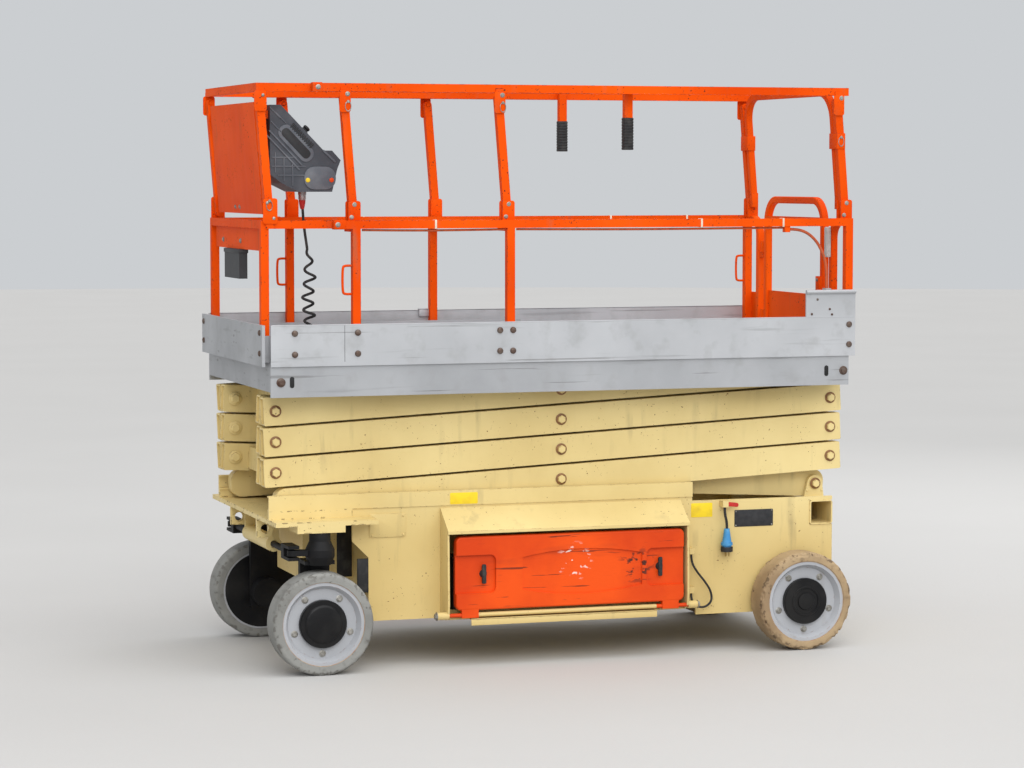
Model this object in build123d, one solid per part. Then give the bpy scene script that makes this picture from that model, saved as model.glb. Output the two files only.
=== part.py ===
from build123d import *
import os
from math import asin, atan2, cos, degrees, hypot, radians, sin

# A four-stage electric scissor lift: wheeled chassis, stacked arms, and a railed platform with a sliding deck.
# Millimetres. +X is the steered end, +Y the left side, +Z up, the origin on the floor under the middle.

os.makedirs("parts", exist_ok=True)

# Fits
seat = 0.3
running_gap = 5.0
open_pin_gap = 1.0

# Overall layout
width_over_tyres = 1170.0
arm_half = 1187.0
arm_centre_x = -16.5
base_pivot_z = 667.0
lift_range = 46.8
stages = 4

# Wheels
tyre_radius = 202.0
tyre_width = 125.0
tyre_shoulder = 14.0
rim_radius = 166.0
rim_dish = 26.0
rim_lip = 14.0
rim_set_back = 4.5
hub_radius = 91.0
hub_reach = 22.0
spindle_radius = 28.0
spindle_depth = 42.0
wheel_wall_gap = 14.0
front_axle_set_back = 105.0
rear_axle_set_in = 126.0

# Steering
kingpin_radius = 58.0
kingpin_neck = 42.0
kingpin_taper = 34.0
kingpin_foot_z = 430.0
kingpin_top_z = 559.0
upright_width = 120.0
upright_thickness = 30.0
upright_gap = 20.0
yoke_thickness = 15.0
motor_radius = 62.0
motor_length = 66.0
steer_arm_reach = 110.0
steer_arm_z = 480.0
steer_arm_thickness = 22.0
tie_bar_radius = 13.0
tie_fork_gap = 6.0
tie_fork_reach = 58.0
tie_fork_length = 44.0
steer_barrel_radius = 32.0
steer_barrel_half = 210.0

# Chassis
wall = 12.0
sheet = 6.0
chassis_floor_z = 186.0
rear_panel_floor_z = 149.0
rear_top_z = 620.0
arch_z = 440.0
beam_top_z = 604.0
beam_thickness = 18.0
beam_front_reach = 187.0
beam_overlap = 10.0
beam_inset = 20.0
arch_clearance = 218.0
nose_clearance = 152.0
nose_set_back = 8.0
kingpin_block_reach = (93.0, 100.0)
nose_half_width = 215.0
nose_floor_z = 330.0
rear_panel_reach = 435.0
tie_down_set_back = 35.0
tie_down_z = 545.0
tie_down_y = 230.0
tie_down_thickness = 16.0
tie_down_bore = 17.5
tie_down_slant = 52.0
tube_end_gap = 47.0
cross_tube_width = 102.0
cross_tube_z = (503.0, 604.0)
cross_tube_corner = 12.0
step_radius = 13.0
step_half_width = 170.0
step_heights = (260.0, 400.0)
step_reach = 34.0

# Base slide channels
channel_depth = 25.0
channel_proud = 4.0
channel_lead = 18.0

# Side compartments and their doors
bay_set_back = (72.0, 296.0)
gusset = 8.0
hood_edge_z = 545.0
hood_top_z = 628.0
hood_reach = 114.0
bay_reach = 110.0
tray_reach = 70.0
bay_inset = 144.0
battery_height = 232.0
battery_margin = 30.0
battery_count = 4
battery_groove = 8.0
battery_web = 40.0
door_gap = (20.0, 36.0)
door_z = (225.0, 520.0)
door_reach = 104.0
door_thickness = 34.0
door_corner = 24.0
pocket_depth = 14.0
pocket_length = (164.0, 166.0)
pocket_z = (292.0, 446.0)
grip_inset = (183.0, 278.0)
grip_z = (300.0, 430.0)
grip_rise = 26.0
hinge_reach = 92.0
hinge_z = 206.0
hinge_pin_radius = 8.0
hinge_strap_half = 11.0
hinge_strap_length = 70.0
hinge_sleeve_radius = 15.0
hinge_sleeve_length = 40.0

# Charger lead and loop cable on the left rear panel
lead_radius = 5.5
lead_set_back = 115.0
lead_stand_off = 27.0
lead_sway = 10.0
clip_half = 12.0
lead_clip_z = (592.0, 618.0)
plug_z = (408.0, 503.0)
plug_radius = 24.0
plug_grip = 56.0
plug_collar = (26.0, 38.0)
loop_radius = 4.5
loop_clip_z = (404.0, 428.0)
loop_socket_z = (243.0, 268.0)

# Scissor arms
end_setback = 46.0
arm_depth = 112.0
arm_gap = 9.35
arm_width = 60.0
lane_gap = 10.0
arm_end = 47.0
arm_end_radius = 44.0
arm_corner = 6.0
arm_wall = 7.0
arm_mouth = 14.0
pin_radius = 25.0
pin_head = 4.0
roller_radius = 23.5
cross_member = (80.0, 90.0)
front_cross_back = 137.0
foot_cross_back = 97.0
rear_cross_s = -700.0
upper_cross_s = -300.0
lug_thickness = 18.0
lug_radius = 34.0
lug_spread = 16.0

# Lift cylinder
eye_set_back = 140.0
barrel_radius = 65.0
barrel_share = 0.657
barrel_head = 96.0
rod_radius = 40.0
rod_share = 0.315
cylinder_eye_radius = 52.0
cylinder_eye_half = 48.0
top_cross_back = 337.0
top_cross_rise = 95.0

# Platform
deck_over_pivot = 63.3
deck_thickness = 15.0
deck_overhang = (23.0, 50.0)
deck_inset = 33.0
skirt_depth = 120.0
skirt = 8.0
end_member_depth = 99.0
board_height = 146.0
board_overhang = 25.0
track_lead = (49.0, 57.0)
track_depth = 49.0

# Guard rails, with heights above the deck
tube = 32.0
post_set_back = (347.0, 980.0)
mid_rail_height = 534.0
mid_rail_nose = 89.0
hinge_row_rise = 37.0
fold_lean = 36.0
fold_rise = 455.0
upper_lane_in = 41.0
top_rail_rise = 534.0
top_rail_reach = (10.0, 161.0)
rail_pin_radius = 8.0
arch_in = 40.0
arch_foot = 70.0
arch_bend = 110.0
jamb_in = 162.0
jamb_bend = 70.0
rear_plate_height = 209.0
cover_length = 220.0
cover_height = 103.0
cover_lip = 9.0
cable_radius = 6.0
cable_foot_in = 100.0
cable_clip_out = 68.0
cable_boss_rise = 14.0

# Entry gate
gate_in = 252.0
gate_hinge_out = 45.0
gate_foot_height = 36.0
gate_top_rise = 86.0
gate_bend = 100.0
gate_tube = 30.0
kick_plate_height = 224.0
gate_hinge_heights = (114.0, 414.0)
gate_knuckle_radius = 15.0
gate_knuckle_half = 24.0
gate_pin_radius = 8.0

# Sliding deck extension
extension_length = 1369.0
extension_deck_inset = 42.0
extension_deck_thickness = 12.0
front_plate_gap = 19.0
front_plate_thickness = 12.0
front_plate_inset = 10.0
extension_board_height = 104.0
extension_lane_in = 96.0
extension_post_back = 3.0
extension_hinge_back = 23.0
extension_rail_length = 1559.0
panel_inset = 34.0
panel_gap = (24.0, 41.0)
panel_thickness = 8.0
panel_seat = 4.0
lower_panel_height = 87.0
manual_box_height = 119.0
manual_box_y = (-180.0, 83.0)
manual_box_depth = 34.0
push_handle_set_in = 35.0
push_handle_drop = 236.0
push_handle_lane_in = 5.0
push_handle_depth = 28.0
push_handle_width = 34.0

# Control box and its curly cord
control_in = 40.0
control_width = 234.0
control_hang = 20.0
control_outline = ((0.0, 0.0), (44.0, 0.0), (216.0, 178.0), (250.0, 178.0), (285.0, 216.0), (271.0, 251.0),
                   (250.0, 340.0), (116.0, 340.0), (46.0, 306.0), (0.0, 271.0))
curly_radius = 17.0
curly_in = 94.0
curly_x_back = 196.0
curly_sway = 24.0
socket_height = 74.0

# Places along the machine that follow from the arms
end_half = arm_half - end_setback
stage_rise = arm_depth + arm_gap
slope = asin(stage_rise / (2 * arm_half))
rest_angle = degrees(slope)
top_stage = stages - 1
centre_zs = [base_pivot_z + end_half * sin(slope) + stage * stage_rise for stage in range(stages)]
base_pivot = (arm_centre_x - end_half * cos(slope), base_pivot_z)
platform_pivot = (base_pivot[0], centre_zs[top_stage] + end_half * sin(slope))
slider_x = arm_centre_x + end_half * cos(slope)
slider_low_x = base_pivot[0] + 2 * end_half * cos(slope + radians(lift_range))
front_pin_x = arm_centre_x + arm_half * cos(slope)
rear_pin_x = arm_centre_x - arm_half * cos(slope)
front_cross_s = arm_half - front_cross_back
foot_cross_s = arm_half - foot_cross_back
cylinder_s = foot_cross_s - eye_set_back
top_cross_s = top_cross_back - arm_half

# Places across the machine that follow from its width
wheel_centre_y = (width_over_tyres - tyre_width) / 2
wheel_inner_y = wheel_centre_y - tyre_width / 2
wheel_outer_y = wheel_centre_y + tyre_width / 2
wall_outer_y = wheel_inner_y - wheel_wall_gap
wall_lane = (wall_outer_y - wall, wall_outer_y)
channel_outer_y = wall_outer_y + channel_proud
outer_edge = channel_outer_y - channel_depth - running_gap
outer_lane = (outer_edge - arm_width, outer_edge)
inner_lane = (outer_lane[0] - lane_gap - arm_width, outer_lane[0] - lane_gap)
track_lane = (inner_lane[0] - running_gap - track_depth, inner_lane[0] - running_gap)
cylinder_lug_y = (barrel_radius + running_gap, barrel_radius + running_gap + lug_thickness)
skirt_outer_y = width_over_tyres / 2 - deck_inset
board_outer_y = skirt_outer_y + skirt
rail_lane = (skirt_outer_y - tube, skirt_outer_y)
upper_lane = (rail_lane[0] - upper_lane_in, rail_lane[1] - upper_lane_in)
extension_lane = (rail_lane[0] - extension_lane_in, rail_lane[1] - extension_lane_in)

# Chassis places
front_axle_x = slider_x - front_axle_set_back
rear_axle_x = base_pivot[0] + rear_axle_set_in
chassis_front_x = front_axle_x - arch_clearance
chassis_nose_x = front_axle_x - nose_clearance
chassis_rear_x = base_pivot[0] - tube_end_gap
rear_panel_x = rear_axle_x + rear_panel_reach
beam_front_x = front_axle_x + beam_front_reach
beam_half_width = wheel_outer_y - beam_inset
cross_tube_x = (chassis_rear_x, chassis_rear_x + cross_tube_width)
roller_half = roller_radius + open_pin_gap / 2
channel_x = (rear_panel_x + channel_lead, beam_front_x)
channel_z = (base_pivot_z - roller_half - sheet, base_pivot_z + roller_half + sheet)
bay_x = (rear_panel_x + bay_set_back[0], chassis_front_x - bay_set_back[1])
bay_outer_y = wall_outer_y + bay_reach
hood_edge_y = wall_outer_y + hood_reach
tray_outer_y = wall_outer_y + tray_reach
inner_wall_y = wall_outer_y - bay_inset
door_x = (bay_x[0] + door_gap[0], bay_x[1] - door_gap[1])
door_outer_y = wall_outer_y + door_reach
hinge_y = wall_outer_y + hinge_reach
lead_x = rear_panel_x - lead_set_back
lead_y = wall_outer_y + lead_stand_off
loop_x = bay_x[0] - hinge_sleeve_length

# Platform places
deck_x = (rear_pin_x - deck_overhang[0], front_pin_x + deck_overhang[1])
deck_z = (platform_pivot[1] + deck_over_pivot, platform_pivot[1] + deck_over_pivot + deck_thickness)
floor_z = deck_z[1]
board_rear_x = deck_x[0] - board_overhang
board_top_z = floor_z + board_height
track_x = (slider_low_x - track_lead[0], slider_x + track_lead[1])
post_xs = (deck_x[1] - post_set_back[0], deck_x[1] - post_set_back[1], deck_x[0])
mid_rail_z = floor_z + mid_rail_height
hinge_row_z = mid_rail_z + hinge_row_rise
top_rail_z = mid_rail_z + top_rail_rise
jamb_y = skirt_outer_y - jamb_in
gate_y = skirt_outer_y - gate_in
gate_hinge_y = -gate_y - gate_hinge_out
cover_x = (board_rear_x, board_rear_x + cover_length)
cover_top_z = board_top_z + cover_height
cable_x = (cover_x[1] - cable_foot_in, cover_x[1] + cable_clip_out)
cable_y = rail_lane[0] + tube / 2
cable_foot_z = cover_top_z + cable_boss_rise

# Extension places
extension_rear_x = deck_x[1] - extension_length
extension_deck_z = (floor_z + seat, floor_z + seat + extension_deck_thickness)
extension_post_x = deck_x[1] - extension_post_back
extension_hinge_x = deck_x[1] - extension_hinge_back
extension_rail_rear_x = deck_x[1] - extension_rail_length
panel_half = extension_lane[0] - panel_inset
panel_z = (mid_rail_z + tube / 2 + panel_gap[0], top_rail_z - tube / 2 - panel_gap[1])
lower_panel_z = (mid_rail_z - tube / 2 - lower_panel_height, mid_rail_z - tube / 2)
control_front_x = extension_hinge_x - control_hang
control_top_z = panel_z[1] - control_hang / 2
control_y = (extension_lane[0] - control_in - control_width, extension_lane[0] - control_in)
curly_foot = (extension_hinge_x - curly_x_back, control_y[1] - curly_in)
curly_top_z = control_top_z - max(drop for back, drop in control_outline)
socket_z = floor_z + socket_height


def block(x, y, z):
    """A block between two limits along each axis."""
    sizes = [high - low for low, high in (x, y, z)]
    middles = [(high + low) / 2 for low, high in (x, y, z)]
    return Pos(*middles) * Box(*sizes)


def rod(axis, at, span, radius):
    """A round bar along one axis, through the point given by the other two coordinates."""
    low, high = span
    middle = (low + high) / 2
    places = {"X": (middle, *at), "Y": (at[0], middle, at[1]), "Z": (*at, middle)}
    turns = {"X": Rot(0, 90, 0), "Y": Rot(90, 0, 0), "Z": Rot(0, 0, 0)}
    return Pos(*places[axis]) * turns[axis] * Cylinder(radius, high - low)


def side_plate(outline, y):
    """A plate whose outline is drawn in X and Z, between two distances from the middle."""
    low, high = y
    return Pos(0, high, 0) * extrude(Plane.XZ * outline, high - low)


def cross_plate(outline, x):
    """A plate whose outline is drawn in Y and Z, between two places along the machine."""
    low, high = x
    return Pos(low, 0, 0) * extrude(Plane.YZ * outline, high - low)


def polygon(*points):
    """A flat face with straight edges through the given corners."""
    return make_face(Polyline(*points, close=True))


def bent_tube(points, bend, radius):
    """A round bar along straight runs with the same bend at each corner."""
    path = FilletPolyline(*points, radius=bend)
    return sweep(Plane(origin=path @ 0, z_dir=path % 0) * Circle(radius), path=path)


def bent_bar(points, bend, width):
    """A square tube along straight runs with the same wide bend at each corner."""
    path = FilletPolyline(*points, radius=bend)
    section = Plane(origin=path @ 0, x_dir=(1, 0, 0), z_dir=path % 0) * RectangleRounded(width, width, sheet)
    return sweep(section, path=path)


def cord_tube(points, radius):
    """A limp cord: each corner is rounded as widely as its two runs allow."""
    points = [Vector(*point) for point in points]
    bends = []
    for before, corner, after in zip(points, points[1:], points[2:]):
        turn = radians((corner - before).get_angle(after - corner))
        shorter = min((corner - before).length, (after - corner).length)
        bends.append(0.45 * shorter / (sin(turn / 2) / cos(turn / 2)))
    path = FilletPolyline(*points, radius=bends)
    print("cord bends", [round(bend) for bend in bends], "length", round(path.length))
    return sweep(Plane(origin=path @ 0, z_dir=path % 0) * Circle(radius), path=path)


def right_of(shape):
    """The same shape on the other side of the machine."""
    return mirror(shape, about=Plane.XZ)


def both_sides(shape):
    """A left-hand shape together with its right-hand twin."""
    return shape + right_of(shape)


def save(name, shape):
    """Write one piece of the machine."""
    export_step(shape, f"parts/{name}.step")


# Chassis

def chassis_wall():
    """One long side wall, stepped up behind the front wheel and down beside the rear one."""
    outline = polygon(
        (chassis_rear_x, rear_panel_floor_z),
        (rear_panel_x, rear_panel_floor_z),
        (rear_panel_x, chassis_floor_z),
        (chassis_front_x, chassis_floor_z),
        (chassis_front_x, arch_z),
        (chassis_nose_x, arch_z + chassis_nose_x - chassis_front_x),
        (chassis_nose_x, channel_z[0]),
        (channel_x[0], channel_z[0]),
        (channel_x[0], rear_top_z),
        (chassis_rear_x, rear_top_z),
    )
    plate = side_plate(outline, wall_lane)
    window_x = (bay_x[0] + battery_margin, bay_x[1] - battery_margin)
    window_z = (chassis_floor_z + battery_margin, hood_edge_z)
    return plate - block(window_x, wall_lane, window_z)


def wall_clip(x, z):
    """A small clip on the left rear panel that a cable hangs from."""
    return block((x - clip_half, x + clip_half), (wall_outer_y, lead_y + clip_half), z)


def chassis_frame():
    """Side walls, floor, bulkheads, nose and the rear wheel spindles."""
    inner = wall_lane[0]
    beam_foot = beam_top_z - beam_thickness
    frame = both_sides(chassis_wall())
    across = (-inner, inner)
    frame += block((chassis_rear_x, chassis_front_x), across, (chassis_floor_z, chassis_floor_z + sheet))
    frame += block((chassis_front_x - sheet, chassis_front_x), across, (chassis_floor_z, beam_foot))
    frame += block((chassis_rear_x, chassis_rear_x + sheet), across, (rear_panel_floor_z, cross_tube_z[0]))
    nose_x = (chassis_front_x, front_axle_x - nose_set_back)
    frame += block(nose_x, (-nose_half_width, nose_half_width), (nose_floor_z, beam_foot))
    bay_wall_z = (chassis_floor_z, hood_edge_z)
    frame += both_sides(block(bay_x, (inner_wall_y - sheet, inner_wall_y), bay_wall_z))
    for x in (bay_x[0], bay_x[1] - sheet):
        frame += both_sides(block((x, x + sheet), (inner_wall_y, inner), bay_wall_z))
    spindle_y = (inner, wheel_inner_y + spindle_depth - seat)
    frame += both_sides(rod("Y", (rear_axle_x, tyre_radius), spindle_y, spindle_radius))
    frame -= block(cross_tube_x, (-channel_outer_y, channel_outer_y), cross_tube_z)
    for x, z in ((lead_x, lead_clip_z), (loop_x, loop_clip_z), (loop_x, loop_socket_z)):
        frame += wall_clip(x, z)
    return frame


def slide_channels():
    """The channel on each side that the lowest front rollers run in."""
    section = Rectangle(channel_depth, channel_z[1] - channel_z[0])
    hollow = Pos(-sheet, 0) * Rectangle(channel_depth, channel_z[1] - channel_z[0] - 2 * sheet)
    middle = (channel_outer_y - channel_depth / 2, (channel_z[0] + channel_z[1]) / 2)
    return both_sides(cross_plate(Pos(*middle) * (section - hollow), channel_x))


def front_beam():
    """The wide front plate with king-pin blocks, channel upstands, tie-down lugs and the steering barrel."""
    plate_z = (beam_top_z - beam_thickness, beam_top_z)
    beam_rear_x = chassis_front_x - beam_overlap
    beam = block((beam_rear_x, beam_front_x), (-beam_half_width, beam_half_width), plate_z)
    beam -= both_sides(block((beam_rear_x, chassis_nose_x), wall_lane, plate_z))
    upstand_y = (wall_lane[0], channel_outer_y)
    beam += both_sides(block((chassis_nose_x, beam_front_x), upstand_y, (beam_top_z, channel_z[0])))
    block_x = (front_axle_x - kingpin_block_reach[0], front_axle_x + kingpin_block_reach[1])
    beam += both_sides(block(block_x, (wall_lane[0], beam_half_width), (kingpin_top_z, plate_z[0])))
    x, z = beam_front_x - tie_down_set_back, tie_down_z
    lug = polygon(
        (x - tie_down_slant, plate_z[0]),
        (x - tie_down_bore - sheet, z - lug_radius),
        (x + lug_radius, z - lug_radius),
        (x + lug_radius, plate_z[0]),
    )
    lug -= Pos(x, z) * Circle(tie_down_bore)
    lug_y = (tie_down_y - tie_down_thickness / 2, tie_down_y + tie_down_thickness / 2)
    beam += both_sides(side_plate(lug, lug_y))
    barrel_x = front_axle_x + steer_arm_reach
    barrel_y = (-steer_barrel_half, steer_barrel_half)
    barrel = rod("Y", (barrel_x, steer_arm_z), barrel_y, steer_barrel_radius)
    hanger_x = (barrel_x - steer_arm_thickness, barrel_x + steer_arm_thickness)
    hanger_y = (steer_barrel_half - lug_thickness, steer_barrel_half)
    barrel += both_sides(block(hanger_x, hanger_y, (steer_arm_z, plate_z[0])))
    return beam + barrel - rod("Y", (barrel_x, steer_arm_z), barrel_y, tie_bar_radius + seat)


def pivot_lug(pivot, base_z):
    """The outline of a lug from a plate's face to a rounded end about a pivot."""
    x, z = pivot
    foot = polygon((x - lug_radius - lug_spread / 2, base_z), (x + lug_radius + lug_spread, base_z),
                   (x + lug_radius, z), (x - lug_radius, z))
    return foot + Pos(x, z) * Circle(lug_radius)


def rear_cross_tube():
    """The square tube across the rear, with the fixed lugs and pins that the lowest arms swing on."""
    width, height = cross_tube_width, cross_tube_z[1] - cross_tube_z[0]
    middle = ((cross_tube_x[0] + cross_tube_x[1]) / 2, (cross_tube_z[0] + cross_tube_z[1]) / 2)
    section = RectangleRounded(width, height, cross_tube_corner)
    section -= RectangleRounded(width - 2 * sheet, height - 2 * sheet, cross_tube_corner - sheet)
    shape = side_plate(Pos(*middle) * section, (-channel_outer_y, channel_outer_y))
    lug_y = (inner_lane[1] + running_gap, inner_lane[1] + running_gap + lug_thickness)
    shape += both_sides(side_plate(pivot_lug(base_pivot, cross_tube_z[1]), lug_y))
    return shape + both_sides(rod("Y", base_pivot, (inner_lane[0] - pin_head, lug_y[1] + pin_head), pin_radius))


def rear_steps():
    """Two bent bars across the rear of the chassis for climbing up to the gate."""
    steps = []
    for z in step_heights:
        out_x = chassis_rear_x - step_reach
        steps.append(bent_tube([
            (chassis_rear_x, -step_half_width, z),
            (out_x, -step_half_width, z),
            (out_x, step_half_width, z),
            (chassis_rear_x, step_half_width, z),
        ], step_radius + running_gap, step_radius))
    return steps[0] + steps[1]


def side_bay():
    """The left compartment: sloping hood, end gussets with hinge sleeves, and the tray floor."""
    hood = polygon(
        (wall_outer_y, hood_top_z),
        (wall_outer_y + sheet, hood_top_z),
        (hood_edge_y, hood_edge_z),
        (hood_edge_y, hood_edge_z - 2 * sheet),
        (hood_edge_y - sheet, hood_edge_z - 2 * sheet),
        (hood_edge_y - sheet, hood_edge_z - sheet),
        (wall_outer_y, hood_top_z - 2 * sheet),
    )
    end = polygon(
        (wall_outer_y, chassis_floor_z),
        (tray_outer_y, chassis_floor_z),
        (bay_outer_y - sheet, hinge_z),
        (bay_outer_y, door_z[0] + door_corner),
        (bay_outer_y - sheet, hood_edge_z - sheet),
        (wall_outer_y, hood_top_z - sheet),
    )
    end -= Pos(hinge_y, hinge_z) * Circle(hinge_pin_radius + seat)
    bay = cross_plate(hood, bay_x)
    bay += block(bay_x, (wall_outer_y, tray_outer_y), (chassis_floor_z, chassis_floor_z + sheet))
    sleeve = Circle(hinge_sleeve_radius) - Circle(hinge_pin_radius + seat)
    for x, out in ((bay_x[0], -hinge_sleeve_length), (bay_x[1] - gusset, gusset + hinge_sleeve_length)):
        bay += cross_plate(end, (x, x + gusset))
        bay += cross_plate(Pos(hinge_y, hinge_z) * sleeve, sorted((x, x + out)))
    return bay


def battery_pack():
    """The left row of traction batteries on the bay floor, with a groove between one case and the next."""
    floor = chassis_floor_z + sheet
    x = (bay_x[0] + 2 * battery_margin, bay_x[1] - 2 * battery_margin)
    y = (inner_wall_y + seat, wall_lane[0] - seat)
    pack = block(x, y, (floor, floor + battery_height))
    pitch = (x[1] - x[0]) / battery_count
    for index in range(1, battery_count):
        groove_x = x[0] + index * pitch - battery_groove / 2
        pack -= block((groove_x, groove_x + battery_groove), y, (floor + battery_web, floor + battery_height))
    return pack


def door():
    """The left moulded door: an arched grip recess, and a latch pocket open to each end, hung on a long pin."""
    inner_y = door_outer_y - door_thickness
    size = (door_x[1] - door_x[0], door_z[1] - door_z[0])
    middle = ((door_x[0] + door_x[1]) / 2, (door_z[0] + door_z[1]) / 2)
    outline = Pos(*middle) * RectangleRounded(*size, door_corner)
    panel = side_plate(outline, (inner_y, door_outer_y))
    face = panel.faces().sort_by(Axis.Y)[-1]
    panel = fillet(face.edges(), door_corner / 3)
    recess_y = (door_outer_y - pocket_depth / 2, door_outer_y + pocket_depth)
    left, right = door_x[0] + grip_inset[0], door_x[1] - grip_inset[1]
    low, high = grip_z
    half = (left + right) / 2
    recess = make_face([
        Line((left, low), (left, high)),
        ThreePointArc((left, high), (half, high + grip_rise), (right, high)),
        Line((right, high), (right, low)),
        ThreePointArc((right, low), (half, low - grip_rise), (left, low)),
    ])
    panel -= side_plate(recess, recess_y)
    pocket_y = (door_outer_y - pocket_depth, door_outer_y + pocket_depth)
    pocket_x = ((door_x[0] - door_corner, door_x[0] + pocket_length[0]),
                (door_x[1] - pocket_length[1], door_x[1] + door_corner))
    for x in pocket_x:
        centre = ((x[0] + x[1]) / 2, (pocket_z[0] + pocket_z[1]) / 2)
        pocket = RectangleRounded(x[1] - x[0], pocket_z[1] - pocket_z[0], door_corner)
        panel -= side_plate(Pos(*centre) * pocket, pocket_y)
    strap_y = (hinge_y - hinge_strap_half, hinge_y + hinge_strap_half)
    strap_z = (hinge_z - hinge_strap_half, door_z[0] + hinge_strap_half)
    for x in (door_x[0] + door_corner, door_x[1] - door_corner - hinge_strap_length):
        panel += block((x, x + hinge_strap_length), strap_y, strap_z)
    pin_x = (bay_x[0] - hinge_sleeve_length, bay_x[1] + hinge_sleeve_length)
    return panel + rod("X", (hinge_y, hinge_z), pin_x, hinge_pin_radius)


def charger_lead():
    """The short lead that hangs from its clip down to the plug."""
    top, foot = lead_clip_z[0], plug_z[1]
    return cord_tube([
        (lead_x, lead_y, top),
        (lead_x, lead_y, top - 28),
        (lead_x - lead_sway, lead_y, foot + 28),
        (lead_x - lead_sway, lead_y, foot),
    ], lead_radius)


def loop_cable():
    """The cable that hangs in a loop beside the door, from one clip on the panel round to another."""
    top, foot = loop_clip_z[0], loop_socket_z[0]
    return cord_tube([
        (loop_x, lead_y, top),
        (loop_x, lead_y, top - 32),
        (loop_x - 24, lead_y + 3, top - 74),
        (loop_x - 58, lead_y + 5, top - 114),
        (loop_x - 86, lead_y + 5, top - 156),
        (loop_x - 91, lead_y + 4, top - 198),
        (loop_x - 61, lead_y + 3, foot - 62),
        (loop_x - 25, lead_y + 1, foot - 58),
        (loop_x, lead_y, foot - 29),
        (loop_x, lead_y, foot),
    ], loop_radius)


def charger_plug():
    """The plug: a tapered grip, a collar and a round socket end."""
    x, top = lead_x - lead_sway, plug_z[1]
    body_radius = plug_radius - running_gap
    grip = Pos(x, lead_y, top - plug_grip / 2) * Cone(body_radius, 2 * lead_radius, plug_grip)
    body = rod("Z", (x, lead_y), (plug_z[0], top - plug_grip), body_radius)
    collar_z = (plug_z[0] + plug_collar[0], plug_z[0] + plug_collar[1])
    return grip + body + rod("Z", (x, lead_y), collar_z, plug_radius)


save("chassis_frame", chassis_frame())
save("slide_channels", slide_channels())
save("front_beam", front_beam())
save("rear_cross_tube", rear_cross_tube())
save("rear_steps", rear_steps())
save("left_bay", side_bay())
save("right_bay", right_of(side_bay()))
save("battery_packs", both_sides(battery_pack()))
save("left_door", door())
save("right_door", right_of(door()))
save("charger_lead", charger_lead())
save("charger_plug", charger_plug())
save("loop_cable", loop_cable())


# Steering and wheels

def knuckle():
    """The left steered knuckle: king-pin housing, upright behind the wheel, drive motor and steering arm."""
    x, y = front_axle_x, wheel_centre_y
    upright_y = (wheel_inner_y - upright_gap - upright_thickness, wheel_inner_y - upright_gap)
    upright_x = (x - upright_width / 2, x + upright_width / 2)
    housing = polygon(
        (0, kingpin_foot_z),
        (kingpin_neck, kingpin_foot_z),
        (kingpin_radius, kingpin_foot_z + kingpin_taper),
        (kingpin_radius, kingpin_top_z - 2 * kingpin_taper),
        (kingpin_neck, kingpin_top_z - kingpin_taper),
        (kingpin_neck, kingpin_top_z - seat),
        (0, kingpin_top_z - seat),
    )
    shape = Pos(x, y, 0) * revolve(Plane.XZ * housing, Axis.Z)
    shape += block(upright_x, (upright_y[0], y), (kingpin_foot_z, kingpin_foot_z + yoke_thickness))
    shape += block(upright_x, upright_y, (tyre_radius - motor_radius, kingpin_foot_z))
    axle = (x, tyre_radius)
    shape += rod("Y", axle, (upright_y[1], wheel_inner_y + spindle_depth - seat), spindle_radius)
    shape += rod("Y", axle, (upright_y[0] - motor_length, upright_y[0]), motor_radius)
    arm_z = (steer_arm_z - steer_arm_thickness / 2, steer_arm_z + steer_arm_thickness / 2)
    shape += block((x, x + steer_arm_reach), (y - steer_arm_thickness, y + steer_arm_thickness), arm_z)
    return shape + rod("Z", (x + steer_arm_reach, y), arm_z, steer_arm_thickness)


def tie_bar():
    """The double-ended steering rod, with an open fork over each steering arm."""
    x, y = front_axle_x + steer_arm_reach, wheel_centre_y
    block_y = (y - tie_fork_reach - tie_fork_length, y - tie_fork_reach)
    half = steer_arm_thickness / 2 + tie_fork_gap
    plate = 2 * tie_fork_gap
    fork_x = (x - steer_arm_thickness, x + steer_arm_thickness)
    fork = block(fork_x, block_y, (steer_arm_z - half - plate, steer_arm_z + half + plate))
    for z in (steer_arm_z - half - plate, steer_arm_z + half):
        fork += block(fork_x, (block_y[1], y + steer_arm_thickness), (z, z + plate))
    return both_sides(fork) + rod("Y", (x, steer_arm_z), (-block_y[0], block_y[0]), tie_bar_radius)


def turned(outline):
    """A solid of revolution about a wheel axle, drawn as radius and distance outwards."""
    return Rot(-90, 0, 0) * revolve(Plane.XZ * outline, Axis.Z)


def tyre():
    """A solid non-marking tyre with rounded shoulders."""
    ring = Pos((rim_radius + tyre_radius) / 2, 0) * Rectangle(tyre_radius - rim_radius, tyre_width)
    shoulders = ring.vertices().group_by(Axis.X)[-1]
    return turned(fillet(shoulders, tyre_shoulder))


def rim():
    """A dished steel disc with a lip at its edge, a raised hub, and a blind bore for the spindle."""
    face = tyre_width / 2 - rim_set_back
    bore = spindle_radius + seat
    bore_end = spindle_depth - tyre_width / 2
    outer = rim_radius - seat
    dish = face - rim_dish
    outline = polygon(
        (0, bore_end), (bore, bore_end), (bore, -face), (outer, -face), (outer, face),
        (outer - rim_lip, face), (outer - 2 * rim_lip, dish), (hub_radius, dish),
        (hub_radius - rim_set_back, dish + hub_reach), (0, dish + hub_reach),
    )
    return turned(outline)


def at_wheel(x, shape):
    """A wheel piece moved to its axle on the left side."""
    return Pos(x, wheel_centre_y, tyre_radius) * shape


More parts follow.
